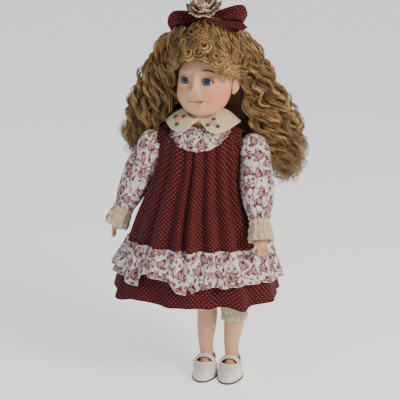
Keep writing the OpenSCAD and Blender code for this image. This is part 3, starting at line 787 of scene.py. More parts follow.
def head_points(rows=250, cols=320):
    """The head as a polar grid about the tip of the nose, in its own frame."""
    polar = math.pi * np.linspace(0, 1, rows + 2)[1:-1] ** 1.3
    turn = np.linspace(0, TAU, cols, endpoint=False)
    p, t = np.meshgrid(polar, turn, indexing="ij")
    way = np.stack([np.sin(p) * np.cos(t), -np.cos(p), np.sin(p) * np.sin(t)], axis=2)
    reach = np.stack([exit_distance(way, np.array(c, float), r) for c, r in HEAD_FORMS])
    keen = 0.5
    top = reach.max(axis=0)
    far = top + np.log(np.exp(keen * (reach - top)).sum(axis=0)) / keen
    far -= 1.1
    points = HEAD_CENTRE + way * far[..., None]
    x, y, z = points[..., 0], points[..., 1], points[..., 2]
    front = ease(-y, 6, 17) * ease(z, 14, 19)
    y = y - face_relief(x, z) * front
    # lids wrap the eyeballs, and open in an almond
    dx, dz = np.abs(x) - EYE[0], z - EYE[1]
    ball = EYE_DEEP - np.sqrt(np.maximum(LID_RADIUS ** 2 - dx ** 2 - dz ** 2, 0))
    near = front * ease(np.hypot(dx, dz), 8.3, 6.0)
    soft = 0.9
    lid = -soft * np.log(np.exp(-y / soft - 30) + np.exp(-ball / soft - 30)) - soft * 30
    y = y + near * (lid - y)
    opening = ease(almond(x, z), 1.02, 0.86) * front
    y = y + opening * (EYE_DEEP + 1.0 - y)
    return np.stack([x, y, z], axis=2), front


def head_piece():
    points, front = head_points()
    uv = np.concatenate([points, points[:, :1]], axis=1)[..., [0, 2]] / CM
    piece = grid("head_bisque", face.put(points), FACE_FINISH, closed=True, caps=True, flip=True, uv=uv,
                 uv_name="front", front=front)
    return piece


def ball_points(centre, radii, rows=28, cols=36, pole=(0, 0, 1)):
    """A ball's polar grid round a pole, closed at both ends."""
    pole = np.array(pole, float) / np.linalg.norm(pole)
    side = np.cross(pole, [0.2, 0.1, 1.0] if abs(pole[2]) < 0.9 else [1.0, 0.1, 0.2])
    side /= np.linalg.norm(side)
    axes = np.array([side, np.cross(pole, side), pole])
    p, t = np.meshgrid(math.pi * np.linspace(0, 1, rows + 2)[1:-1], np.linspace(0, TAU, cols, endpoint=False),
                       indexing="ij")
    unit = np.stack([np.sin(p) * np.cos(t), np.sin(p) * np.sin(t), np.cos(p)], axis=2) @ axes
    return np.array(centre) + unit * np.array(radii), p, t


def ball(name, place, centre, radii, material, rows=16, cols=22, pole=(0, 0, 1)):
    points, _, _ = ball_points(centre, radii, rows, cols, pole)
    return grid(name, place.put(points), material, closed=True, caps=True, uv=cloth_uv(points, True))


def eyeball(side):
    s = SIDES[side]
    gaze = (-s * 0.01 + 0.02, -1.0, 0.01)
    points, reach, turn = ball_points((s * EYE[0], EYE_DEEP, EYE[1]), (EYE_RADIUS,) * 3, 90, 72, gaze)
    cornea = 1 + 0.045 * ease(reach, 0.6, 0.3)
    centre = np.array((s * EYE[0], EYE_DEEP, EYE[1]))
    points = centre + (points - centre) * cornea[..., None]
    return grid("eyeball_" + side, face.put(points), EYE_FINISH, closed=True, caps=True, reach=reach,
                turn=turn)


def lid_curve(side, low, high, steps=40, size=1.0):
    """Points along the edge of an eye's opening, from one angle to the other, on the lid's curve."""
    a = np.linspace(low, high, steps)
    tall = np.where(np.sin(a) > 0, LID_UP, LID_DOWN)
    x, z = np.cos(a) * LID_WIDE * size, np.sin(a) * tall * size
    y = EYE_DEEP - np.sqrt(LID_RADIUS ** 2 - x ** 2 - z ** 2) + 0.12
    return np.stack([SIDES[side] * (EYE[0] + x), y, EYE[1] + z], axis=1)


def eyelids(side):
    upper = tube("lid_up", face.put(lid_curve(side, 0.02, math.pi - 0.02)), 0.5, LASH)
    lower = tube("lid_low", face.put(lid_curve(side, math.pi + 0.02, TAU - 0.02)), 0.34, SKIN_FINISH)
    return joined("eyelids_" + side, [upper, lower])


def lash_strands(side):
    strands = []
    for a in np.linspace(0.35, math.pi - 0.35, 22):
        root = lid_curve(side, a, a, 1)[0]
        out = np.array([SIDES[side] * math.cos(a) * 0.9, -0.85, 0.35 + math.sin(a) * 0.35])
        t = np.linspace(0, 1, 6)[:, None]
        path = root + out * t * 2.2 + np.array([0, 0, 0.9]) * t ** 2
        strands.append((face.put(path), 0.16 * (1 - 0.75 * t[:, 0]), rng.random()))
    return strands


def ear(side):
    """An ear with its bowl and rim."""
    s = SIDES[side]
    points, _, _ = ball_points((s * 33.0, 2.5, 53.5), (3.4, 7.2, 9.8), 44, 60, (s, -0.35, 0.0))
    bowl = np.exp(-(((points[..., 1] - 1.4) / 3.4) ** 2) - ((points[..., 2] - 54) / 5.4) ** 2)
    outer = ease(points[..., 0] * s, 32, 35)
    points[..., 0] -= s * 3.0 * bowl * outer
    lobe = ease(points[..., 2], 49, 44)
    points[..., 1] -= 2.0 * lobe
    points[..., 0] -= s * 1.0 * lobe
    return grid("ear_" + side, face.put(points), SKIN_FINISH, closed=True, caps=True)


def make_head():
    dress(head_piece(), "head", "bisque", "head_shell")
    for side in SIDES:
        dress(ear(side), "head", "bisque", "head_shell")
        dress(eyeball(side), "head", "eye_glass", "eye_" + side)
        dress(eyelids(side), "head", "bisque", "head_shell")


# ------------------------------------------------------------------ strands

def strand_tree(name, sides):
    """A node tree that gives every line of a mesh a round section of its own thickness."""
    tree = bpy.data.node_groups.new(name, "GeometryNodeTree")
    tree.interface.new_socket("Strands", in_out="INPUT", socket_type="NodeSocketGeometry")
    tree.interface.new_socket("Finish", in_out="INPUT", socket_type="NodeSocketMaterial")
    tree.interface.new_socket("Solid", in_out="OUTPUT", socket_type="NodeSocketGeometry")
    made = {}

    def node(kind, **settings):
        made[kind] = tree.nodes.new(kind)
        for key, value in settings.items():
            setattr(made[kind], key, value)
        return made[kind]

    def link(source, output, target, socket):
        tree.links.new(source.outputs[output], target.inputs[socket])

    start, end = node("NodeGroupInput"), node("NodeGroupOutput")
    curve, radius = node("GeometryNodeMeshToCurve"), node("GeometryNodeSetCurveRadius")
    thick = node("GeometryNodeInputNamedAttribute", data_type="FLOAT")
    thick.inputs["Name"].default_value = "thick"
    circle = node("GeometryNodeCurvePrimitiveCircle")
    circle.inputs["Resolution"].default_value = sides
    circle.inputs["Radius"].default_value = 1.0
    index = node("GeometryNodeInputIndex")
    mark = node("GeometryNodeStoreNamedAttribute", data_type="FLOAT", domain="POINT")
    mark.inputs["Name"].default_value = "around"
    sweep = node("GeometryNodeCurveToMesh")
    sweep.inputs["Fill Caps"].default_value = True
    smooth, finish = node("GeometryNodeSetShadeSmooth"), node("GeometryNodeSetMaterial")
    real = node("GeometryNodeRealizeInstances")
    link(start, "Strands", curve, "Mesh")
    link(curve, "Curve", radius, "Curve")
    link(thick, "Attribute", radius, "Radius")
    link(radius, "Curve", sweep, "Curve")
    link(circle, "Curve", mark, "Geometry")
    link(index, "Index", mark, "Value")
    link(mark, "Geometry", sweep, "Profile Curve")
    if "Scale" in sweep.inputs:
        link(thick, "Attribute", sweep, "Scale")
    link(sweep, "Mesh", smooth, "Geometry")
    link(smooth, "Geometry", real, "Geometry")
    link(real, "Geometry", finish, "Geometry")
    link(start, "Finish", finish, "Material")
    link(finish, "Geometry", end, "Solid")
    return tree


def strands_piece(name, strands, material, tree):
    """One piece from (path in millimetres, thickness, shade) strands."""
    lengths = [len(s[0]) for s in strands]
    points = np.concatenate([s[0] for s in strands])
    thick = np.concatenate([np.broadcast_to(s[1], n) for s, n in zip(strands, lengths)])
    lock = np.repeat([s[2] for s in strands], lengths)
    run = np.concatenate([np.concatenate([[0], np.cumsum(np.linalg.norm(np.diff(s[0], axis=0), axis=1))])
                          for s in strands]) / CM
    first = np.cumsum([0] + lengths[:-1])
    edges = [(a + k, a + k + 1) for a, n in zip(first, lengths) for k in range(n - 1)]
    mesh = bpy.data.meshes.new(name)
    mesh.from_pydata((points * MM).tolist(), edges, [])
    for key, values in (("thick", thick * MM), ("lock", lock), ("run", run)):
        mesh.attributes.new(key, "FLOAT", "POINT").data.foreach_set("value", values)
    piece = new_object(name, mesh)
    modifier = piece.modifiers.new("strands", "NODES")
    modifier.node_group = tree
    for item in tree.interface.items_tree:
        if item.name == "Finish":
            modifier[item.identifier] = material
    return settle(piece)


# ------------------------------------------------------------------ hair

CURL_SEED = 5


def smooth_path(points, count):
    """A smooth curve through a few points, resampled evenly."""
    points = np.asarray(points, float)
    span = np.concatenate([[0], np.cumsum(np.linalg.norm(np.diff(points, axis=0), axis=1))])
    fine = np.linspace(0, span[-1], count)
    path = np.stack([np.interp(fine, span, points[:, k]) for k in range(3)], axis=1)
    wide = max(3, count // (2 * (len(points) - 1)) * 2 + 1)
    kernel = np.hanning(wide + 2)[1:-1]
    kernel /= kernel.sum()
    half = wide // 2
    padded = np.concatenate([2 * path[:1] - path[half:0:-1], path, 2 * path[-1:] - path[-2:-half - 2:-1]])
    return np.stack([np.convolve(padded[:, k], kernel, "valid") for k in range(3)], axis=1)


def side_axes(path):
    """Two directions across a path at each of its points."""
    way = np.gradient(path, axis=0)
    way /= np.linalg.norm(way, axis=1)[:, None]
    first = np.cross(way, [0.05, 1.0, 0.12])
    first /= np.linalg.norm(first, axis=1)[:, None]
    return first, np.cross(way, first)


def curl(guide, draw, swing=(2.8, 7.4), wave=(19, 36), fibres=8, thick=(0.34, 0.72), steps=42, shade=None):
    """A lock: fibres that run together along a guide, in crimped waves that widen towards the tip."""
    path = smooth_path(guide, steps)
    first, second = side_axes(path)
    run = np.concatenate([[0], np.cumsum(np.linalg.norm(np.diff(path, axis=0), axis=1))])
    t = run / run[-1]
    wave_length = draw.uniform(*wave)
    amount = draw.uniform(*swing) * (0.35 + 0.65 * ease(t, 0.0, 0.45))
    phase = draw.uniform(0, TAU)
    angle = TAU * run / wave_length + phase + 0.9 * np.sin(run / 31 + phase)
    flat = draw.uniform(0.35, 1.0)
    tilt = draw.uniform(0, TAU)
    u = math.cos(tilt) * first + math.sin(tilt) * second
    v = -math.sin(tilt) * first + math.cos(tilt) * second
    axis = path + u * (amount * np.sin(angle))[:, None] + v * (amount * flat * np.cos(angle))[:, None]
    tint = draw.uniform(0.15, 0.95) if shade is None else shade
    strands = []
    for k in range(fibres):
        apart = draw.uniform(0.6, 3.4)
        turn = TAU * k / fibres + draw.uniform(-0.5, 0.5) + draw.uniform(-0.04, 0.04) * run
        spread = apart * (0.55 + 0.75 * t)
        fibre = axis + u * (spread * np.cos(turn))[:, None] + v * (spread * np.sin(turn))[:, None]
        width = draw.uniform(*thick) * (1 - 0.72 * ease(t, 0.55, 1.0)) * (0.7 + 0.3 * ease(t, 0, 0.1))
        strands.append((fibre, width, min(1.0, max(0.0, tint + draw.uniform(-0.16, 0.16)))))
    return strands


# centre lines of the two side falls from the temple down: outer edge and inner edge at each height
FALLS = {
    "left": {"outer": [(30, 4, 398), (47, 10, 384), (61, 10, 358), (75, 8, 335), (92, 10, 312),
                       (101, 14, 288),
                       (104, 18, 262), (98, 20, 240)],
             "inner": [(22, 0, 400), (34, 4, 380), (38, 8, 352), (42, 8, 325), (52, 6, 300), (60, 6, 280),
                       (72, 10, 258), (80, 16, 236)]},
    "right": {"outer": [(-34, 4, 398), (-50, 8, 384), (-65, 10, 360), (-78, 12, 336), (-86, 12, 314),
                        (-92, 14, 292),
                        (-97, 18, 272), (-88, 20, 256)],
              "inner": [(-24, 0, 400), (-33, 2, 380), (-37, 6, 352), (-38, 8, 325), (-46, 8, 300),
                        (-56, 8, 284),
                        (-66, 12, 268), (-74, 18, 254)]},
}


def fall_guide(side, across, depth, draw):
    """A guide for one lock of a side fall: across runs 0 to 1 from inner to outer edge, depth 0 to 1
    from front to back."""
    inner, outer = (np.array(FALLS[side][edge], float) for edge in ("inner", "outer"))
    guide = inner + (outer - inner) * across
    guide[:, 1] += (depth - 0.15) * np.array([6, 18, 26, 30, 30, 28, 26, 22])
    guide[0] += draw.uniform(-3, 3, 3)
    guide[1:] += draw.normal(0, 1.8, guide[1:].shape)
    cut = draw.uniform(-0.9, 1.0)
    guide[-1] += (guide[-1] - guide[-2]) * cut * (0.4 if cut > 0 else 0.8)
    return guide


def side_fall(side, tree, count=92):
    draw = np.random.default_rng(CURL_SEED + SIDES[side])
    strands = []
    for k in range(count):
        across = (k % 10 + draw.uniform(-0.4, 0.4)) / 9
        depth = (k // 10) / (count / 10) + draw.uniform(-0.06, 0.06)
        strands += curl(fall_guide(side, across, depth, draw), draw)
    return strands_piece("curls_" + side, strands, HAIR, tree)


def back_fall(tree, count=80):
    draw = np.random.default_rng(CURL_SEED + 7)
    strands = []
    for k in range(count):
        across = (k % 16 + draw.uniform(-0.4, 0.4)) / 15
        layer = (k // 16) / (count / 16)
        x = -46 + 96 * across
        bulge = 1 - 0.35 * (2 * across - 1) ** 2
        guide = [(x * 0.45, 8 + 10 * layer, 404), (x * 0.8, 30 * bulge + 6 * layer, 385),
                 (x, 44 * bulge + 6 * layer, 350),
                 (x * 1.1, 52 * bulge + 8 * layer, 310), (x * 1.15, 56 * bulge + 8 * layer, 275),
                 (x * 1.1, 54 * bulge + 6 * layer, draw.uniform(238, 258))]
        strands += curl(np.array(guide) + draw.normal(0, 1.5, (6, 3)), draw, steps=50)
    return strands_piece("curls_back", strands, HAIR, tree)


CROWN_LOCKS = 170


def crown_strands():
    """Hair swept up over the crown to the topknot, crimped."""
    draw = np.random.default_rng(CURL_SEED + 11)
    strands = []
    for k in range(CROWN_LOCKS):
        turn = TAU * k / CROWN_LOCKS + draw.uniform(-0.02, 0.02)
        sin, cos = math.sin(turn), math.cos(turn)
        lift = draw.uniform(0, 4.5 if cos < 0.2 else 2.0)
        low = 56 if cos < 0.2 else 68
        start = np.array([(36 + lift) * sin, 4 - (37 + lift) * cos, low])
        middle = np.array([(35 + lift) * sin, 4 - (35 + lift) * cos, 80 + lift])
        high = np.array([(23 + lift) * sin + 2, 2 - (24 + lift) * cos, 99 + lift])
        end = np.array([8 * sin + 4, -8 * cos, 111 + draw.uniform(-2, 2)])
        strands += curl(head.put([start, middle, high, end]), draw, (1.6, 4.2), (16, 27), 6, (0.36, 0.8), 26)
    return strands


PIN_CURL_FIBRES = 13


def pin_curl(centre, out, radius, draw, turns=2.3):
    """A flat spiral curl that faces outwards from the head."""
    out = np.array(out, float) / np.linalg.norm(out)
    side = np.cross(out, [0, 0, 1.0])
    side /= np.linalg.norm(side)
    up = np.cross(side, out)
    t = np.linspace(0, 1, 46)
    turn = TAU * turns * t * draw.choice([-1, 1]) + draw.uniform(0, TAU)
    reach = radius * (0.22 + 0.78 * t)
    tint = draw.uniform(0.35, 0.95)
    strands = []
    for _ in range(PIN_CURL_FIBRES):
        off = draw.uniform(-1.2, 1.2)
        r = reach + off
        lift = out * ((1 - t) * 4.0 + draw.uniform(-2.0, 2.2))[:, None]
        path = np.array(centre) + side * (r * np.cos(turn))[:, None] + up * (r * np.sin(turn))[:, None] + lift
        width = draw.uniform(0.34, 0.66) * (1 - 0.5 * ease(t, 0.85, 1.0))
        strands.append((face.put(path), width, min(1, max(0, tint + draw.uniform(-0.15, 0.15)))))
    return strands


def fringe_strands():
    """Pin curls over the forehead, in five rows, and loose wisps at the temples."""
    draw = np.random.default_rng(CURL_SEED + 21)
    strands = []
    rows = ((89.0, 6, 27, -38.5, 8.0), (99.0, 5, 25, -37.0, 9.0), (109.5, 4, 19, -31.5, 9.0),
            (94.0, 6, 27, -35.0, 7.6), (104, 5, 26, -32.0, 8.0))
    for height, count, half, deep, size in rows:
        for k in range(count):
            u = 2 * k / (count - 1) - 1
            x = u * half + draw.uniform(-1.5, 1.5)
            y = deep + 17 * u * u + draw.uniform(-1, 1)
            z = height - 10.5 * u * u + draw.uniform(-1.5, 1.5)
            out = np.array([x * 0.8, y, (height - 78) * 0.9])
            strands += pin_curl((x, y, z), out, size * draw.uniform(0.8, 1.25), draw)
    for x, y, z, size in ((26.0, -30.5, 79, 7.4), (31.0, -24.5, 75, 6.6), (34.5, -16, 71, 6.4),
                          (24.0, -34.0, 86, 7.5),
                          (33.0, -20, 66, 5.0), (36.0, -9, 66, 6.0), (29.5, -28.5, 71, 4.6)):
        for mirror in (-1, 1):
            spot = np.array([mirror * x, y, z]) + draw.normal(0, 0.5, 3)
            strands += pin_curl(spot, (mirror * x, y * 0.9, 6), size * draw.uniform(0.9, 1.1), draw)
    for side in (-1, 1):
        for k in range(14):
            top = np.array([side * (24 + k * 0.9), -25 + 2.0 * k, 93 - k * 1.0])
            guide = [top, top + (side * 6, 1, -8), top + (side * 9, 10, -17), top + (side * 10, 20, -29)]
            strands += curl(face.put(np.array(guide) + draw.normal(0, 1.0, (4, 3))), draw, (2.0, 4.4),
                            (14, 24), 7,
                            (0.34, 0.7), 30)
    return strands


def under_layer(name, points, material=None):
    # without a material of its own a layer takes the darker hair finish, painted shade for hair in shade
    piece = grid(name, points, material or HAIR_PAINTED_SHADE, closed=True, caps=True,
                 lock=np.full(np.shape(points)[:2], 0.5),
                 run=np.asarray(points)[..., 2] / CM, around=np.zeros(np.shape(points)[:2]))
    return piece


def fall_core(side):
    """A dark filler inside a side fall, so that no light shows through it. Its dark colour is painted shade
    for the hair that lies in shade deep in the fall.
    """
    inner, outer = (smooth_path(FALLS[side][edge], 30) for edge in ("inner", "outer"))
    a = np.linspace(0, TAU, 28, endpoint=False)
    t = np.linspace(0, 1, 30)
    middle, half = (inner + outer) / 2, (outer - inner) / 2
    middle[:, 1] += 11 * ease(t, 0, 0.3)
    deep = 5 + 7.5 * ease(t, 0, 0.35)
    taper = 0.78 * (1 - 0.55 * ease(t, 0.75, 1))
    points = middle[:, None] + half[:, None] * (np.cos(a) * 1.0)[None, :, None] * taper[:, None, None]
    points[..., 1] += np.sin(a)[None] * (deep * taper)[:, None]
    return under_layer("hair_core_" + side, points)


def back_core():
    a = np.linspace(0, TAU, 40, endpoint=False)
    rows = [(392, 22, 14, 12), (375, 34, 22, 12), (350, 42, 34, 11), (310, 46, 46, 10), (275, 46, 50, 9),
            (252, 40, 50, 6)]
    rows = smooth_path([(r[0], r[1], r[2]) for r in rows], 26)
    points = [[(w * math.cos(t), y + 9 * math.sin(t), z) for t in a] for z, w, y in rows]
    # the dark filler inside the back fall: painted shade for the hair in shade deep in it
    return under_layer("hair_core_back", points)


def scalp():
    """The wig's ground over the crown: a dark close layer under the swept-up hair."""
    a = np.linspace(0, TAU, 80, endpoint=False)
    rows = [(46, 33.5, 35, 9), (54, 36, 38.5, 7), (66, 36.5, 39, 5), (78, 35, 38, 4), (88, 30.5, 33, 3),
            (98, 22, 24, 3),
            (106, 14, 15, 2), (112, 8, 9, 2)]
    points = []
    for z, w, d, y in rows:
        ring = []
        for t in a:
            front = ease(-math.sin(t), -0.4, 0.3)
            rise = front * max(0, 80 - z)
            ring.append(((w + 1.5) * math.cos(t) + (2 if z > 100 else 0), y + (d + 1) * math.sin(t), z
                         + rise))
        points.append(ring)
    return under_layer("hair_ground", head.put(points), HAIR_ROOTS)


def make_hair():
    tree = strand_tree("strand_sweep", 3)
    hang = lambda piece, z0, z1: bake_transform(piece, "head", "torso", (0, 0, z0 * MM), (0, 0, z1 * MM))
    for side in SIDES:
        for piece in (side_fall(side, tree), fall_core(side)):
            hang(piece, 345, 268)
            dress(piece, None, "golden_hair", "hair_fall_" + side)
    for piece in (back_fall(tree), back_core()):
        hang(piece, 345, 268)
        dress(piece, None, "golden_hair", "hair_fall_back")
    dress(strands_piece("crown_curls", crown_strands(), HAIR, tree), "head", "golden_hair", "hair_crown")
    dress(scalp(), "head", "wig_net", "wig_cap")
    dress(strands_piece("fringe_curls", fringe_strands(), HAIR, tree), "head", "golden_hair",
          "hair_bangs")
    lashes = lash_strands("left") + lash_strands("right")
    dress(strands_piece("lashes", lashes, LASH, tree), "head", "golden_hair")


# ------------------------------------------------------------------ dress

def angles(count):
    """Angles round the body from the middle of its back.
    0 is the front, and the doll's left comes after it."""
    return np.linspace(-math.pi, math.pi, count, endpoint=False)


def ring_xy(a, wide, deep):
    return wide * np.sin(a), -deep * np.cos(a)


def level(table, z):
    """Interpolates rows of (height, values...) that are listed from the bottom up."""
    table = np.array(table, float)
    return [np.interp(z, table[:, 0], table[:, k]) for k in range(1, table.shape[1])]


YOKE_X = body_x - 2.5        # the yoke hangs a little over towards the doll's right arm
PINAFORE = [(seam_z, 80.5, 62, dress_x), (187, 72, 55.5, dress_x), (212, 62, 47.5, -7.2), (237, 54, 40, -6),
            (252, 50.2, 34.5, YOKE_X), (262, 48.8, 31.6, YOKE_X), (270, 48.4, 29.8, YOKE_X),
            (281, 46.8, 27.4, YOKE_X),
            (288, 44, 25, YOKE_X)]
PLEATS = [(-0.66, 4.2, 0.08), (-0.30, 2.4, 0.06), (-0.06, 6.6, 0.04), (0.20, 5.2, 0.06), (0.47, 5.6, 0.07),
          (0.76, 4.8, 0.07), (1.0, 3.0, 0.06), (-0.95, 3.0, 0.08), (1.35, 2.4, 0.06), (-1.3, 2.4, 0.06),
          (1.9, 2.8, 0.06), (2.3, 3.0, 0.05), (2.75, 2.6, 0.06), (-1.8, 2.8, 0.06), (-2.3, 2.6, 0.05),
          (-2.8, 3, 0.06)]


def pleats(a, t):
    """Depth of the pressed-in folds at angles a, a share t of the way down from the yoke."""
    deep = 0
    for centre, depth, width in PLEATS:
        away = (a - centre + math.pi) % TAU - math.pi
        deep = deep + depth * (0.55 + 0.75 * t) * np.exp(-(away / (width * (1.2 + 0.5 * t))) ** 2)
        deep = deep - 0.6 * depth * (0.3 + 0.7
                                     * t) * np.exp(-((np.abs(away) - 2.3 * width) / (1.7 * width)) ** 2)
    return deep


def neckline(a):
    """Height of the pinafore's top edge: a deep scoop in front, high straps, cut-away armholes."""
    u = np.abs((a + math.pi) % TAU - math.pi) / math.pi
    front = 268.3 + 20 * ease(u, 0.02, 0.36) ** 1.35 - 1.4 * bell(u, 0, 0.02)
    armhole = 34 * ease(u, 0.40, 0.435) * ease(u, 0.62, 0.585)
    back = ease(u, 0.52, 0.60)
    return np.minimum(front, 288) * (1 - back) + (280 + 6 * ease(u, 0.80, 0.66)) * back - armhole


def pinafore_points(rows=72, cols=480):
    a = angles(cols)
    top = neckline(a)
    t = np.linspace(0, 1, rows)[:, None] ** 0.9
    z = seam_z + (top[None] - seam_z) * (1 - t)
    wide, deep, centre = level(PINAFORE, z)
    t_fold = ease(z, 268, 175)
    near_top = np.exp(-(top[None] - z) / 9)
    gathers = 0.55 * near_top * np.sin(46 * a + 2.2 * np.sin(5 * a))[None]
    folds = gathers - pleats(a[None], t_fold) + (0.5 + 2.2 * t_fold) * wander(a, (7, 10, 13), 3)[None] * 0.7
    x, y = ring_xy(a[None], wide + folds, deep + folds)
    return np.stack([x + centre, y, z], axis=2)


def strap(side):
    """The piece of a pinafore strap that lies over the shoulder."""
    turn = np.linspace(-1.5, 1.5, 34)
    across = np.linspace(-1, 1, 9)
    points = []
    for t in turn:
        y, z = 13.4 * math.sin(t), 272 + 19.0 * math.cos(t)
        middle = YOKE_X + SIDES[side] * (42.6 - 1.6 * math.cos(t))
        points.append([(middle + 5.4 * v, y, z - 0.9 * v * v - SIDES[side] * v * 2.0
                        * math.cos(t)) for v in across])
    return grid("strap", points, DOTTED, uv=cloth_uv(points), flip=side == "left")


def cloth_surface(name, points, material, thickness=0.9, closed=True, flared=False, flip=True):
    piece = grid(name, points, material, closed=closed, uv=cloth_uv(points, closed, flared), flip=flip)
    return thicken(piece, thickness)


def flat_size(points, closed=True):
    """The cloth's flat width and length in metres, from its widest row and its mean length."""
    uv = cloth_uv(points, closed)
    return float(uv[0, -1, 0] - uv[0, 0, 0]) * CM * MM, float(uv[-1, 0, 1]) * CM * MM


def ruffle_points(rows=44, cols=900):
    """A gathered strip from the seam down. One stretch in front is caught up."""
    a = angles(cols)
    t = np.linspace(0, 1, rows)[:, None]
    caught = ease(a, -0.66, -0.56) * ease(a, -0.12, -0.2) * (1 - 0.35 * ease(a, -0.56, -0.2))
    hem = ruffle_z + 2 - 1.8 * wander(a, (3, 5, 8), 12) + 12 * caught + 6 * ease(a, -0.75,
                                                                                 -1.5) * ease(a, -2.9, -1.9)
    hem = hem - 9 * np.exp(-((a - 0.02) / 0.14) ** 2) - 7 * np.exp(-((a + 0.72) / 0.13) ** 2)
    top = seam_z + 0.8
    z = top - (top - hem)[None] * t
    out = 9 * np.exp(-((a[None] + 1.5) / 0.55) ** 2) * t
    wide, deep = 80.9 + 12.4 * t + out, 62.4 + 12.4 * t
    wave = (wander(a, (19, 24, 29, 35), 8)[None] * (0.7 + 2.6 * t)
            + 0.7 * np.sin(72 * a + 3 * np.sin(4 * a)) * np.exp(-t * 6))
    wave = wave + 2.2 * wander(a, (5, 8),
                               15)[None] * t + 3.5 * caught[None] * t - 1.1 * pleats(a[None], 0.7) * (1 - t)
    x, y = ring_xy(a[None], wide + wave, deep + wave)
    return np.stack([x + dress_x, y, z], axis=2)


def underskirt_points(rows=60, cols=720):
    a = angles(cols)
    t = np.linspace(0, 1, rows)[:, None]
    hem = hem_z + 2.0 + 1.6 * wander(a, (3, 5, 7), 31) - 4.5 * np.exp(-((a - 0.72) / 0.12) ** 2)
    hem = hem - 6 * np.exp(-((a + 1.05) / 0.2) ** 2) - 2.5 * np.exp(-((a - 0.3) / 0.1) ** 2)
    z = 214 - (214 - hem)[None] * t
    wide, deep, centre = level([(hem_z - 6, 94, 75, dress_x), (118, 88, 69.5, dress_x),
                                (134, 83, 65, dress_x),
                                (150, 78, 60, dress_x), (seam_z, 71, 53, dress_x), (190, 57, 42, -7.2),
                                (216, 39, 29.5, body_x)], z)
    low = ease(z, 195, 108)
    wide = wide + 7 * low * np.exp(-((a[None] + 1.5) / 0.5) ** 2)
    wave = (0.8 + 4.2 * low) * wander(a, (6, 9, 11, 14), 41)[None] * 0.75 + 0.8 * low * wander(a, (21, 27),
                                                                                               42)[None]
    x, y = ring_xy(a[None], wide + wave, deep + wave)
    return np.stack([x + centre, y, z], axis=2)


def hem_roll(name, edge, material, radius=0.7, lift=0.0):
    """A folded hem along the bottom row of a garment."""
    path = np.asarray(edge) + (0, 0, lift)
    return tube(name, path[::3], radius, material, 8, closed=True, squeeze=(0.75, 1.25))


def legs_follow(piece):
    """Bakes the skirt piece's placement into its mesh."""
    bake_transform(piece)
    return piece


def make_skirts():
    parts = (("pinafore", pinafore_points(), DOTTED, 0.9, "dotted_burgundy"),
             ("pinafore_ruffle", ruffle_points(), ROSES, 0.7, "rose_print"),
             ("underskirt", underskirt_points(), DOTTED, 0.8, "dotted_burgundy"))
    for name, points, material, thickness, finish in parts:
        cloth = cloth_surface(name + "_cloth", points, material, thickness, flared=name != "pinafore_ruffle")
        thread_radius = 0.55 if name == "pinafore_ruffle" else 0.65
        edge = points[-1].copy()
        middle = edge.mean(axis=0)
        pieces = [cloth]
        if name != "pinafore":
            pieces.append(hem_roll(name + "_hem", middle + (edge - middle) * 0.995, material,
                                   thread_radius, 0.4))
        if name == "pinafore":
            pieces += [thicken(strap(side), 0.9, 0.0) for side in SIDES]
            pieces.append(neck_piping(points[0]))
        piece = joined(name + "_cloth", pieces)
        legs_follow(piece)
        dress(piece, None, finish, name)
        flat_size(points)


def neck_piping(edge):
    """The turned edge along the pinafore's top."""
    out = edge - (YOKE_X, 0, 0)
    out[:, 2] = 0
    out /= np.linalg.norm(out, axis=1)[:, None]
    return tube("piping", (edge + out * -0.3)[::3], 0.75, DOTTED, 8, closed=True)


BLOUSE = [(222, 44, 30, YOKE_X), (242, 45, 29.5, YOKE_X), (258, 45.6, 28.4, YOKE_X), (270, 45.4, 27, YOKE_X),
          (281, 42.5, 24, YOKE_X + 1), (289, 33.5, 21.5, body_x - 1), (296, 24, 19, body_x)]


def blouse_points(rows=50, cols=420):
    a = angles(cols)
    t = np.linspace(0, 1, rows)[:, None]
    z = 294 - (294 - 224) * t + 0 * a[None]
    wide, deep, centre = level(BLOUSE, z)
    wave = 0.55 * wander(a, (9, 14, 19), 51)[None] * ease(t, 0, 0.3) + 0.3 * wander(a, (26, 33), 52)[None]
    x, y = ring_xy(a[None], wide + wave, deep + wave)
    return np.stack([x + centre, y, z], axis=2)


SLEEVE = [(-15.9, 2.4), (-13.5, 9), (-8, 14.2), (0, 16.6), (12, 17.2), (24, 17.6), (42, 18), (58, 17),
          (68, 15),
          (76, 12.4), (81.5, 10.6)]


def sleeve_points(side, rows=84, cols=300):
    a = angles(cols)
    s = np.linspace(-15.9, 81.5, rows)[:, None]
    radius, = level(SLEEVE, s)
    draw = 60 + SIDES[side]
    twist = a[None] + 0.10 * np.sin(s / 13) + 0.004 * s
    body = ease(s, -12, 25) * ease(s, 80, 62)
    wave = body * (1.5 * wander(twist, (3, 5, 7), draw) + 0.8 * np.sin(s / 7.5 + 3 * np.cos(twist * 2)) * 0.8)
    ends = np.exp(-((s - 81.5) / 9) ** 2) * 0.9 + np.exp(-((s + 4) / 10) ** 2) * 0.55
    wave = wave + ends * np.sin(24 * a[None] + 2 * np.sin(3 * a[None]))
    x, y = ring_xy(a[None], radius + wave, radius + wave)
    return arm_place(side).put(np.stack([x, y, s + 0 * a[None]], axis=2))


def cuff_points(side, rows=40, cols=360):
    """A flared frill of lace with a scalloped edge."""
    a = angles(cols)
    t = np.linspace(0, 1, rows)[:, None]
    scallop = 1.1 * np.abs(np.sin(11 * a))[None] * ease(t, 0.7, 1)
    s = 80.5 + 24.5 * t + scallop
    wave = wander(a, (6, 9, 13), 71 + SIDES[side])[None] * (0.3 + 1.5 * t)
    radius = 10.2 + 0.8 * np.sin(t * 3) + 3.4 * t ** 1.4 + wave + 0.5 * np.exp(-t * 8) * np.sin(30 * a)[None]
    x, y = ring_xy(a[None], radius, radius)
    return arm_place(side).put(np.stack([x, y, s], axis=2))


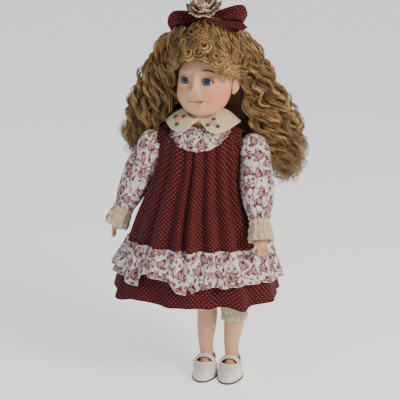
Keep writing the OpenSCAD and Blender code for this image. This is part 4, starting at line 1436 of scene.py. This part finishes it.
def motif_rings(name, points, step_u, step_v, size, material=None):
    """Raised worked circles on a lace surface: rings with a centre knot, laid on its own grid."""
    points = np.asarray(points)
    rows, cols = points.shape[:2]
    centre = points.mean(axis=1, keepdims=True)
    strands = []
    across = np.linalg.norm(np.diff(points[rows // 2], axis=0), axis=1).sum()
    down = np.linalg.norm(np.diff(points[:, 0], axis=0), axis=1).sum()
    count, lines = max(4, int(across / step_u)), max(1, int(down / step_v))
    for line in range(lines):
        for k in range(count):
            i = (line + 0.62) / lines * (rows - 1) * 0.97
            j = ((k + 0.5 * (line % 2)) / count * cols) % cols
            i0, j0 = int(i), int(j)
            p = points[i0, j0]
            right = points[i0, (j0 + 3) % cols] - points[i0, j0 - 3]
            along_way = points[min(rows - 1, i0 + 2), j0] - points[max(0, i0 - 2), j0]
            right, along_way = right / np.linalg.norm(right), along_way / np.linalg.norm(along_way)
            out = np.cross(right, along_way)
            out *= np.sign(np.dot(out, p - centre[i0, 0]))
            for radius, thick in ((size, 0.26), (size * 0.28, 0.34)):
                turn = np.linspace(0, TAU, 18)
                ring = (p + out * 0.25 + right * (radius * np.cos(turn))[:, None]
                        + along_way * (radius * np.sin(turn))[:, None])
                strands.append((ring, thick, 0.5))
    return strands_piece(name, strands, material or LACE_THREAD, stitch_tree)


LACE_THREAD = thread("lace_thread", (0.80, 0.74, 0.58), 0.8)


COLLAR_TURN = math.radians(-3)


def collar_spot(a, t, lift=0.0):
    """A point on the flat collar at angle a from its opening, a share t of the way out."""
    reach = np.abs(np.asarray(a, float))
    corner = 1 - 0.42 * np.exp(-(reach / 0.34) ** 2) - 0.24 * np.exp(-((reach - 3.09) / 0.26) ** 2)
    inner = 19.8 + 0.6 * np.cos(2 * reach)
    wide, deep = 41 * corner, 36 * corner
    x, y = (inner + (wide - inner) * t) * np.sin(a), -(inner - 1 + (deep - inner + 1) * t) * np.cos(a)
    sides = ease(reach, 0.3, 1.6)
    fall = (15.5 - 2.5 * sides) * np.clip((wide - inner) / (41 - inner), 0.1, 1)
    z = 304.5 + 7.0 * sides - fall * t ** 1.25 + 1.2 * np.sin(math.pi * t) + 0.5 * np.cos(5
                                                                                          * reach) * t + lift
    z = z - 2.0 * np.exp(-(reach / 0.5) ** 2) * (1 - t)
    cos, sin = math.cos(COLLAR_TURN), math.sin(COLLAR_TURN)
    return np.stack([x * cos - y * sin + body_x, x * sin + y * cos, z], axis=-1)


def collar_lobe(side):
    s = SIDES[side]
    a = s * np.linspace(0.035, math.pi - 0.035, 110)
    t = np.linspace(0, 1, 30)
    points = collar_spot(a[None, :] + 0 * t[:, None], t[:, None] + 0 * a[None, :])
    cloth = grid("collar", points, SATIN, uv=cloth_uv(points), flip=side == "left")
    thicken(cloth, 1.1, 0.0)
    edge = np.concatenate([points[:, 0], points[-1], points[::-1, -1]])
    roll = tube("collar_edge", edge[::2], 0.62, SATIN, 8)
    inset = collar_spot(a[4:-4], np.full(len(a) - 8, 0.93), 0.75)
    line = stitches("collar_stitch", inset)
    return joined("collar_cloth_" + side, [cloth, roll, line])


def stitches(name, path):
    """A line of short stitches along an open edge."""
    run = np.concatenate([[0], np.cumsum(np.linalg.norm(np.diff(path, axis=0), axis=1))])
    strands = []
    for start in np.arange(0, run[-1] - 1.2, 2.0):
        at = np.linspace(start, start + 1.2, 3)
        strands.append((np.stack([np.interp(at, run, path[:, k]) for k in range(3)], axis=1), 0.17, 0.5))
    return strands_piece(name, strands, GOLD, stitch_tree)


def embroidered_rose(a, t, size=1.0):
    """Satin-stitch petals in a ring, with three leaves, lying on the collar."""
    centre = collar_spot(a, t, 0.7)
    right = collar_spot(a + 0.05, t, 0.7) - centre
    out = collar_spot(a, t + 0.04, 0.7) - centre
    right, out = right / np.linalg.norm(right), out / np.linalg.norm(out)
    normal = np.cross(right, out)
    normal *= np.sign(normal[2])
    strands_pink, strands_green = [], []

    def petal(store, angle, reach, length, width, strokes, lift):
        way = right * math.cos(angle) + out * math.sin(angle)
        wide = -right * math.sin(angle) + out * math.cos(angle)
        for k in range(strokes):
            v = 2 * k / (strokes - 1) - 1
            half = length / 2 * math.sqrt(max(0.05, 1 - v * v * 0.92))
            s = np.linspace(-half, half, 6)[:, None]
            path = (centre + way * (reach + s) + wide * (v * width)
                    + normal * (lift + 0.5 * (1 - (s / half) ** 2) * (1 - v * v)))
            store.append((path, 0.36, 0.5))

    for k in range(5):
        petal(strands_pink, TAU * k / 5 + 0.3, 2.1 * size, 3.1 * size, 1.35 * size, 8, 0.0)
    petal(strands_pink, 0.5, 0, 2.2 * size, 1.0 * size, 6, 0.6)
    for angle in (0.9, 3.1, 5.1):
        petal(strands_green, angle, 4.7 * size, 3.9 * size, 1.7 * size, 11, -0.1)
    return (strands_piece("rose", strands_pink, PINK, stitch_tree),
            strands_piece("leaves", strands_green, GREEN, stitch_tree))


def make_bodice():
    points = blouse_points()
    piece = cloth_surface("blouse_cloth", points, ROSES, 0.8)
    dress(piece, "torso", "rose_print", "blouse")
    flat_size(points)
    for side in SIDES:
        dress(collar_lobe(side), "torso", "cream_satin", "collar_" + side)
    roses = [*embroidered_rose(-0.84, 0.56, 1.35), *embroidered_rose(0.58, 0.56, 1.25)]
    dress(joined("collar_embroidery", roses), "torso", "embroidery", "collar_roses")
    for side in SIDES:
        body = "arm_" + side
        points = sleeve_points(side)
        piece = cloth_surface("sleeve_cloth_" + side, points, ROSES, 0.7, flip=False)
        dress(piece, body, "rose_print", "sleeve_" + side)
        flat_size(points)
        points = cuff_points(side)
        lace_cloth = cloth_surface("cuff_net", points, LACE, 0.5, flip=False)
        piece = joined("cuff_lace_" + side, [lace_cloth, motif_rings("motifs", points, 7.0, 7.5, 2.1)])
        dress(piece, body, "cream_lace", "cuff_" + side)
        flat_size(points)


# ------------------------------------------------------------------ limbs

def revolved(name, place, profile, material, cols=64, squash=(1, 1), shift=None):
    """A limb: rings of (height, radius) along a place's +Z axis, smoothed."""
    path = smooth_path([(p[0], p[1], p[2] if len(p) > 2 else 0) for p in profile], 90)
    a = angles(cols)
    points = []
    for z, r, y in path:
        x_ring, y_ring = ring_xy(a, r * squash[0], r * squash[1])
        across = shift(z) if shift else 0
        points.append(np.stack([x_ring + across, y_ring + y, np.full(cols, z)], axis=1))
    return grid(name, place.put(points), material, closed=True, caps=True, uv=cloth_uv(points, True),
                flip=False)


def hand_and_forearm(side):
    """A fired forearm with a hand: palm, four curved fingers and a thumb, melted into one skin."""
    place = arm_place(side)
    s = SIDES[side]
    arm = revolved("arm", place, [(54, 7.9), (58, 8), (66, 8), (80, 6.9), (92, 5.6), (99, 5.3),
                                  (104, 5.2)], SKIN_FINISH)
    pieces = [arm, ball("palm", place, (0, 0, 107), (3.9, 6.8, 8.2), SKIN_FINISH, 24, 30)]
    for k, length in enumerate((9.0, 10.5, 10.2, 8.4)):
        y = -5.1 + 3.4 * k
        t = np.linspace(0, 1, 12)[:, None]
        path = np.array([0, y * 0.86, 110.0]) + t * np.array([-s * 0.6, y * 0.06, length
                                                              + 2]) + t ** 2 * np.array(
            [-s * 2.6, 0, -0.8])
        pieces.append(tube("finger", place.put(path), 1.95 - 0.35 * t[:, 0], SKIN_FINISH, 14))
    t = np.linspace(0, 1, 12)[:, None]
    thumb = np.array([-s * 0.5, -5.2, 103.5]) + t * np.array([-s * 1.5, -3.6,
                                                              9.5]) + t ** 2 * np.array([-s * 1.0, 1.0, 0])
    pieces.append(tube("thumb", place.put(thumb), 2.15 - 0.4 * t[:, 0], SKIN_FINISH, 14))
    piece = joined("forearm_bisque_" + side, pieces)
    modified(piece, "REMESH", mode="VOXEL", voxel_size=0.42 * MM, use_smooth_shade=True)
    modified(piece, "SMOOTH", factor=0.5, iterations=4)
    settle(piece)
    return piece


def upper_arm_padding(side):
    profile = [(-10.5, 2), (-8.5, 7), (-3, 10.6), (6, 11), (24, 10.3), (44, 9.4), (52, 9.5), (57.2, 8.9),
               (61.5, 9.5)]
    return revolved("arm_stuffing_" + side, arm_place(side), profile, CALICO)


def leg_length(side):
    return float(np.linalg.norm(pivot["hip_" + side] - ankle(side)))


def thigh_padding(side):
    end = leg_length(side)
    profile = [(91, 11.2), (93, 12.0), (94.5, 11.9), (98, 12.3), (115, 12.9), (140, 13.6), (end - 4, 13.7),
               (end + 6, 12), (end + 11, 8), (end + 13.4, 2)]
    return revolved("thigh_stuffing_" + side, leg_place(side), profile, CALICO)


def knee_shift(z):
    """The legs bow a little towards the doll's right on the way up from the ankle."""
    return -6.5 * ease(z, 2, 52)


def shin_piece(side):
    """A fired shin with a full calf, a slim ankle and a foot that fills the shoe."""
    profile = [(-6, 7.2, 0.8), (0, 7.7, 0.6), (8, 8.2, 0.5), (20, 9.8, 0.8), (34, 11.4, 1.4), (48, 11.6, 1.6),
               (60, 11.0, 1.0), (76, 10.0, 0), (90, 9.9, 0), (100, 9.9, 0)]
    leg = revolved("leg", leg_place(side), profile, SKIN_FINISH, shift=knee_shift)
    low = Place((ankle(side)[0], 0, 0), np.eye(3))
    foot = [ball("heel", low, (0, 12, 11), (7.6, 7.8, 8), SKIN_FINISH, 24, 30),
            ball("ankle", low, (0, 3.5, 22), (7.8, 8.4, 9.4), SKIN_FINISH, 24, 30),
            ball("arch", low, (0, -2, 14), (7.6, 12, 9), SKIN_FINISH, 24, 30),
            ball("toes", low, (0, -12, 9.5), (8.2, 9, 5.6), SKIN_FINISH, 24, 30)]
    piece = joined("shin_bisque_" + side, [leg, *foot])
    modified(piece, "REMESH", mode="VOXEL", voxel_size=0.55 * MM, use_smooth_shade=True)
    modified(piece, "SMOOTH", factor=0.5, iterations=12)
    return settle(piece)


PANTALOON_LOW = {"left": 42, "right": 54}


def pantaloon_points(side, rows=64, cols=300):
    a = angles(cols)
    s = np.linspace(leg_length(side) - 6, PANTALOON_LOW[side], rows)[:, None]
    radius, = level([(30, 15.8), (40, 14.2), (46, 13.8), (70, 14.3), (110, 15.6), (160, 15.4)], s)
    frill = ease(s, PANTALOON_LOW[side] + 13, PANTALOON_LOW[side])
    wave = 0.7 * wander(a, (5, 8, 11), 81 + SIDES[side])[None] + frill * 1.3 * wander(a, (9, 13, 17),
                                                                                      83)[None]
    s = s - frill * 1.2 * np.abs(np.sin(10 * a))[None]
    x, y = ring_xy(a[None], radius + wave + frill * 0.8, radius + 1.1 + wave + frill * 0.8)
    return leg_place(side).put(np.stack([x + knee_shift(s) * ease(s, 140, 95), y, s], axis=2))


def shoe_points(side, rows=40, cols=200):
    """A bar shoe's upper: toe cap and low sides, open over the instep."""
    a = angles(cols)
    t = np.linspace(0, 1, rows)[:, None]
    toe = np.maximum(0, np.cos(a))[None] ** 1.6
    blunt = 1 + 0.05 * np.cos(2 * a) ** 2
    wide = 13.4 * (1 - 0.16 * t ** 2.2) * (1 + 0.05 * np.cos(a)[None])
    front_in = 27.4 - 15.5 * t ** 2.6
    deep = np.where(np.cos(a)[None] > 0, front_in, 27.0 * (1 - 0.075 * t ** 2))
    tall = 15.6 + 2.4 * (1 - toe) * np.cos(a / 2)[None] ** 2 + 3.2 * np.maximum(0, -np.cos(a))[None] ** 2
    x, y = wide * np.sin(a)[None] * blunt[None], -deep * np.cos(a)[None]
    rise = t ** (1 + 0.25 * toe)
    z = 2.3 + rise * tall * (1 + 0.02 * np.cos(3 * a)[None])
    return np.stack([ankle(side)[0] + x * (1 - 0.10 * np.maximum(0, -np.cos(a))[None]), y - 3, z], axis=2)


def sole_piece(side):
    rows = []
    a = angles(120)
    for z, grow in ((0.0, -1.0), (0.0, 0.1), (0.5, 0.7), (2.2, 0.7), (2.6, 0.1), (2.6, -1.5)):
        wide = (13.6 + grow) * (1 + 0.05 * np.cos(a)) * (1 - 0.10 * np.maximum(0, -np.cos(a)))
        blunt = 1 + 0.05 * np.cos(2 * a) ** 2
        rows.append(np.stack([ankle(side)[0] + wide * np.sin(a) * blunt, -(27.5 + grow) * np.cos(a) - 3,
                              np.full(120, z)], axis=1))
    return grid("sole_" + side, rows, SOLE, closed=True, caps=True, flip=False)


def insole_piece(side):
    a = angles(80)
    rows = [np.stack([ankle(side)[0] + 11.9 * k * np.sin(a), -25.4 * k * np.cos(a) - 3, np.full(80, z)],
                     axis=1)
            for k, z in ((0.9, 2.6), (1, 2.8), (1, 3.3), (0.9, 3.5))]
    return grid("insole_" + side, rows, INSOLE, closed=True, caps=True, flip=False)


def strap_path(side):
    """The bar over the instep, from one side of the shoe to the other."""
    t = np.linspace(-1.42, 1.42, 44)
    return np.stack([ankle(side)[0] + 13.0 * np.sin(t), -7.2 + 1.2 * np.cos(t), 12.4 + 13.4 * np.cos(t)],
                    axis=1)


def shoe_strap(side):
    path = strap_path(side)
    v = np.linspace(-1, 1, 9)
    points = path[:, None] + v[None, :, None] * np.array([0, 2.9, 1.0]) * np.ones((len(path), 1, 1))
    points[..., 2] -= 0.35 * v[None] ** 2
    band = grid("bar", points, VINYL, uv=cloth_uv(points), flip=True)
    return thicken(band, 1.0, 0.0)


def make_limbs():
    for side in SIDES:
        arm, leg = "arm_" + side, "leg_" + side
        dress(hand_and_forearm(side), arm, "bisque", "forearm_" + side)
        dress(upper_arm_padding(side), arm, "calico", "upper_arm_" + side)
        dress(thigh_padding(side), leg, "calico", "thigh_" + side)
        dress(shin_piece(side), leg, "bisque", "shin_" + side)
        points = pantaloon_points(side)
        net = cloth_surface("pantaloon_net", points, LACE, 0.5, flip=True)
        lower = points[-16:]
        piece = joined("pantaloon_lace_" + side, [net, motif_rings("motifs", lower, 6.5, 6.5, 1.9)])
        dress(piece, leg, "cream_lace", "pantaloon_" + side)
        flat_size(points)
        upper = grid("shoe_skin", shoe_points(side), VINYL, closed=True, flip=False,
                     uv=cloth_uv(shoe_points(side), True))
        thicken(upper, 1.0)
        rim = tube("shoe_rim", shoe_points(side)[-1][::2], 0.75, VINYL, 10, closed=True)
        welt = shoe_points(side)[1][::2]
        seam = tube("shoe_welt", welt, 0.45, VINYL, 8, closed=True)
        dress(joined("shoe_" + side, [upper, rim, seam]), leg, "white_vinyl", "shoe_upper_" + side)
        dress(sole_piece(side), leg, "sole_rubber", "shoe_sole_" + side)
        dress(insole_piece(side), leg, "sole_rubber", "shoe_sole_" + side)
        dress(shoe_strap(side), leg, "white_vinyl", "shoe_strap_" + side)
        path = strap_path(side)
        end = path[-4] if side == "left" else path[3]
        knob = ball("shoe_knob_" + side, Place(end + (SIDES[side] * 0.9, -0.2, 0.3), np.eye(3)), (0, 0, 0),
                    (1.2, 2.1, 2.1), PEARL, 20, 28, (1, 0, 0))
        dress(knob, leg, "pearl_button", "shoe_button_" + side)


def torso_padding():
    """The stuffed cotton trunk, narrowing between the legs."""
    a = angles(96)
    table = [(183, 2.2, 6), (196, 2.2, 6), (203, 12, 12), (208, 30, 20), (214, 35, 25.2), (228, 35, 25),
             (241, 37, 23.5),
             (249, 36.5, 20.5), (262, 36.5, 19.5), (272, 33, 17), (275.5, 24, 12), (276.5, 8, 5)]
    rows = smooth_path(table, 80)
    points = []
    for z, w, d in rows:
        x, y = ring_xy(a, max(w - 0.2, 1), max(d - 0.2, 1))
        points.append(np.stack([x, y, np.full(96, z)], axis=1))
    return grid("torso_stuffing", points, CALICO, closed=True, caps=True, uv=cloth_uv(points, True),
                flip=False)


# ------------------------------------------------------------------ bow

BOW = np.array([0.0, 0, 413])


def bow_loop(side):
    """A puffed loop of ribbon that faces forwards, pinched where the knot holds it."""
    s = SIDES[side]
    t = np.linspace(0, 1, 90)[:, None]
    v = np.linspace(-1, 1, 41)[None]
    long, tall, droop = (41, 13, -6.0) if side == "right" else (43, 13, 3.5)
    puff = np.sin(math.pi * t)
    x = s * (2 + long * puff ** 0.8) + 0 * v
    z = tall * 0.6 * np.sin(TAU * t) * (0.5 + 0.5 * puff) + (1 - puff) * 1.4 * np.sin(v * 9)
    z = z + 0.6 * np.sin(v * 7 + 9 * t) * puff
    y = v * (3.6 + 5.4 * puff ** 0.7)
    x = x - s * 4.0 * v ** 2 * puff
    lean = math.radians(62)
    y, z = y * math.cos(lean) - z * math.sin(lean), y * math.sin(lean) + z * math.cos(lean)
    z = z + puff * droop
    points = np.stack(np.broadcast_arrays(x, y, z), axis=2) + BOW
    band = grid("bow_ribbon_" + side, points, DOTTED, uv=cloth_uv(points), flip=side == "right")
    return thicken(band, 0.8, 0.0)


def bow_tail(k):
    t = np.linspace(0, 1, 40)[:, None]
    v = np.linspace(-1, 1, 15)[None]
    notch = 5.5 * np.abs(v)
    run = t * (37 + 9 * k) - notch * t ** 6
    x = 4 + run * 0.97
    y = -9 - 3 * k - t * 5 + v * 2.2
    z = -3 - run * (0.30 - 0.16 * k) - 1.5 * np.sin(t * 5 + k) * t + v * (1.6 + 2.8 * t)
    points = np.stack(np.broadcast_arrays(x, y, z), axis=2) + BOW
    return thicken(grid("tail", points, DOTTED, uv=cloth_uv(points), flip=False), 0.7, 0.0)


def rosette_ring(radius, low, high, waves, seed):
    """One gathered ring of the cream print, ruffled at its edge."""
    a = angles(260)
    t = np.linspace(0, 1, 30)[:, None]
    ruffle = np.sin(waves * a + 0.5 * np.sin(3 * a))[None] * (0.4 + 2.2 * t) + wander(a, (2, 3),
                                                                                      seed)[None] * t
    reach = 4 + (radius - 4) * t + 0.5 * ruffle * t
    x, y = ring_xy(a[None], reach, reach)
    z = low + (high - low) * t ** 1.5 + ruffle * 0.85 * t + 0.42 * y
    points = np.stack([x - 2, y - 4, z + 0 * a[None]], axis=2) + BOW
    return thicken(grid("ruffle", points, ROSES_CREAM, closed=True, uv=cloth_uv(points, True), flip=False),
                   0.7, 0.0)


def make_bow():
    for side in SIDES:
        dress(bow_loop(side), "head", "dotted_burgundy", "bow_loop_" + side)
    dress(joined("bow_tails_cloth", [bow_tail(0), bow_tail(1)]), "head", "dotted_burgundy", "bow_tails")
    knot = revolved("bow_wrap", Place(BOW, np.eye(3)),
                    [(-5, 6.5), (-3, 7.4), (2, 6.6), (5, 6.2), (7, 5.2)], DOTTED)
    dress(knot, "head", "dotted_burgundy", "bow_knot")
    rings = [rosette_ring(18.5, 4.0, 10, 7, 1), rosette_ring(16, 6.5, 15.5, 6, 2),
             rosette_ring(11.5, 8.5, 19, 5, 3)]
    dress(joined("bow_rosette_cloth", rings), "head", "rose_print", "bow_rosette")


# ------------------------------------------------------------------ hidden CAD parts keep their shape

NODE_FINISH = {"shoulder_plate": SKIN_FINISH, "shoulder_wire": STEEL, "hip_wire": STEEL, "neck_spring": STEEL,
               "neck_washer": STEEL, "back_snaps": STEEL, "eye_plaster": PLASTER, "crown_pate": PATE,
               "neck_button": WOOD, "neck_bolt": STEEL, "arm_wire": STEEL,
               "arm_tie": WHITE_THREAD, "leg_tie": WHITE_THREAD}


def finish_nodes():
    for name, node in frame["nodes"].items():
        base = name.replace("_left", "").replace("_right", "")
        if base in NODE_FINISH:
            node.data.materials.clear()
            node.data.materials.append(NODE_FINISH[base])


stitch_tree = strand_tree("stitch_sweep", 6)
camera_and_lights()
studio_floor()
make_head()
make_hair()
make_skirts()
make_bodice()
make_limbs()
dress(torso_padding(), "torso", "calico", "torso_cloth")
make_bow()
finish_nodes()
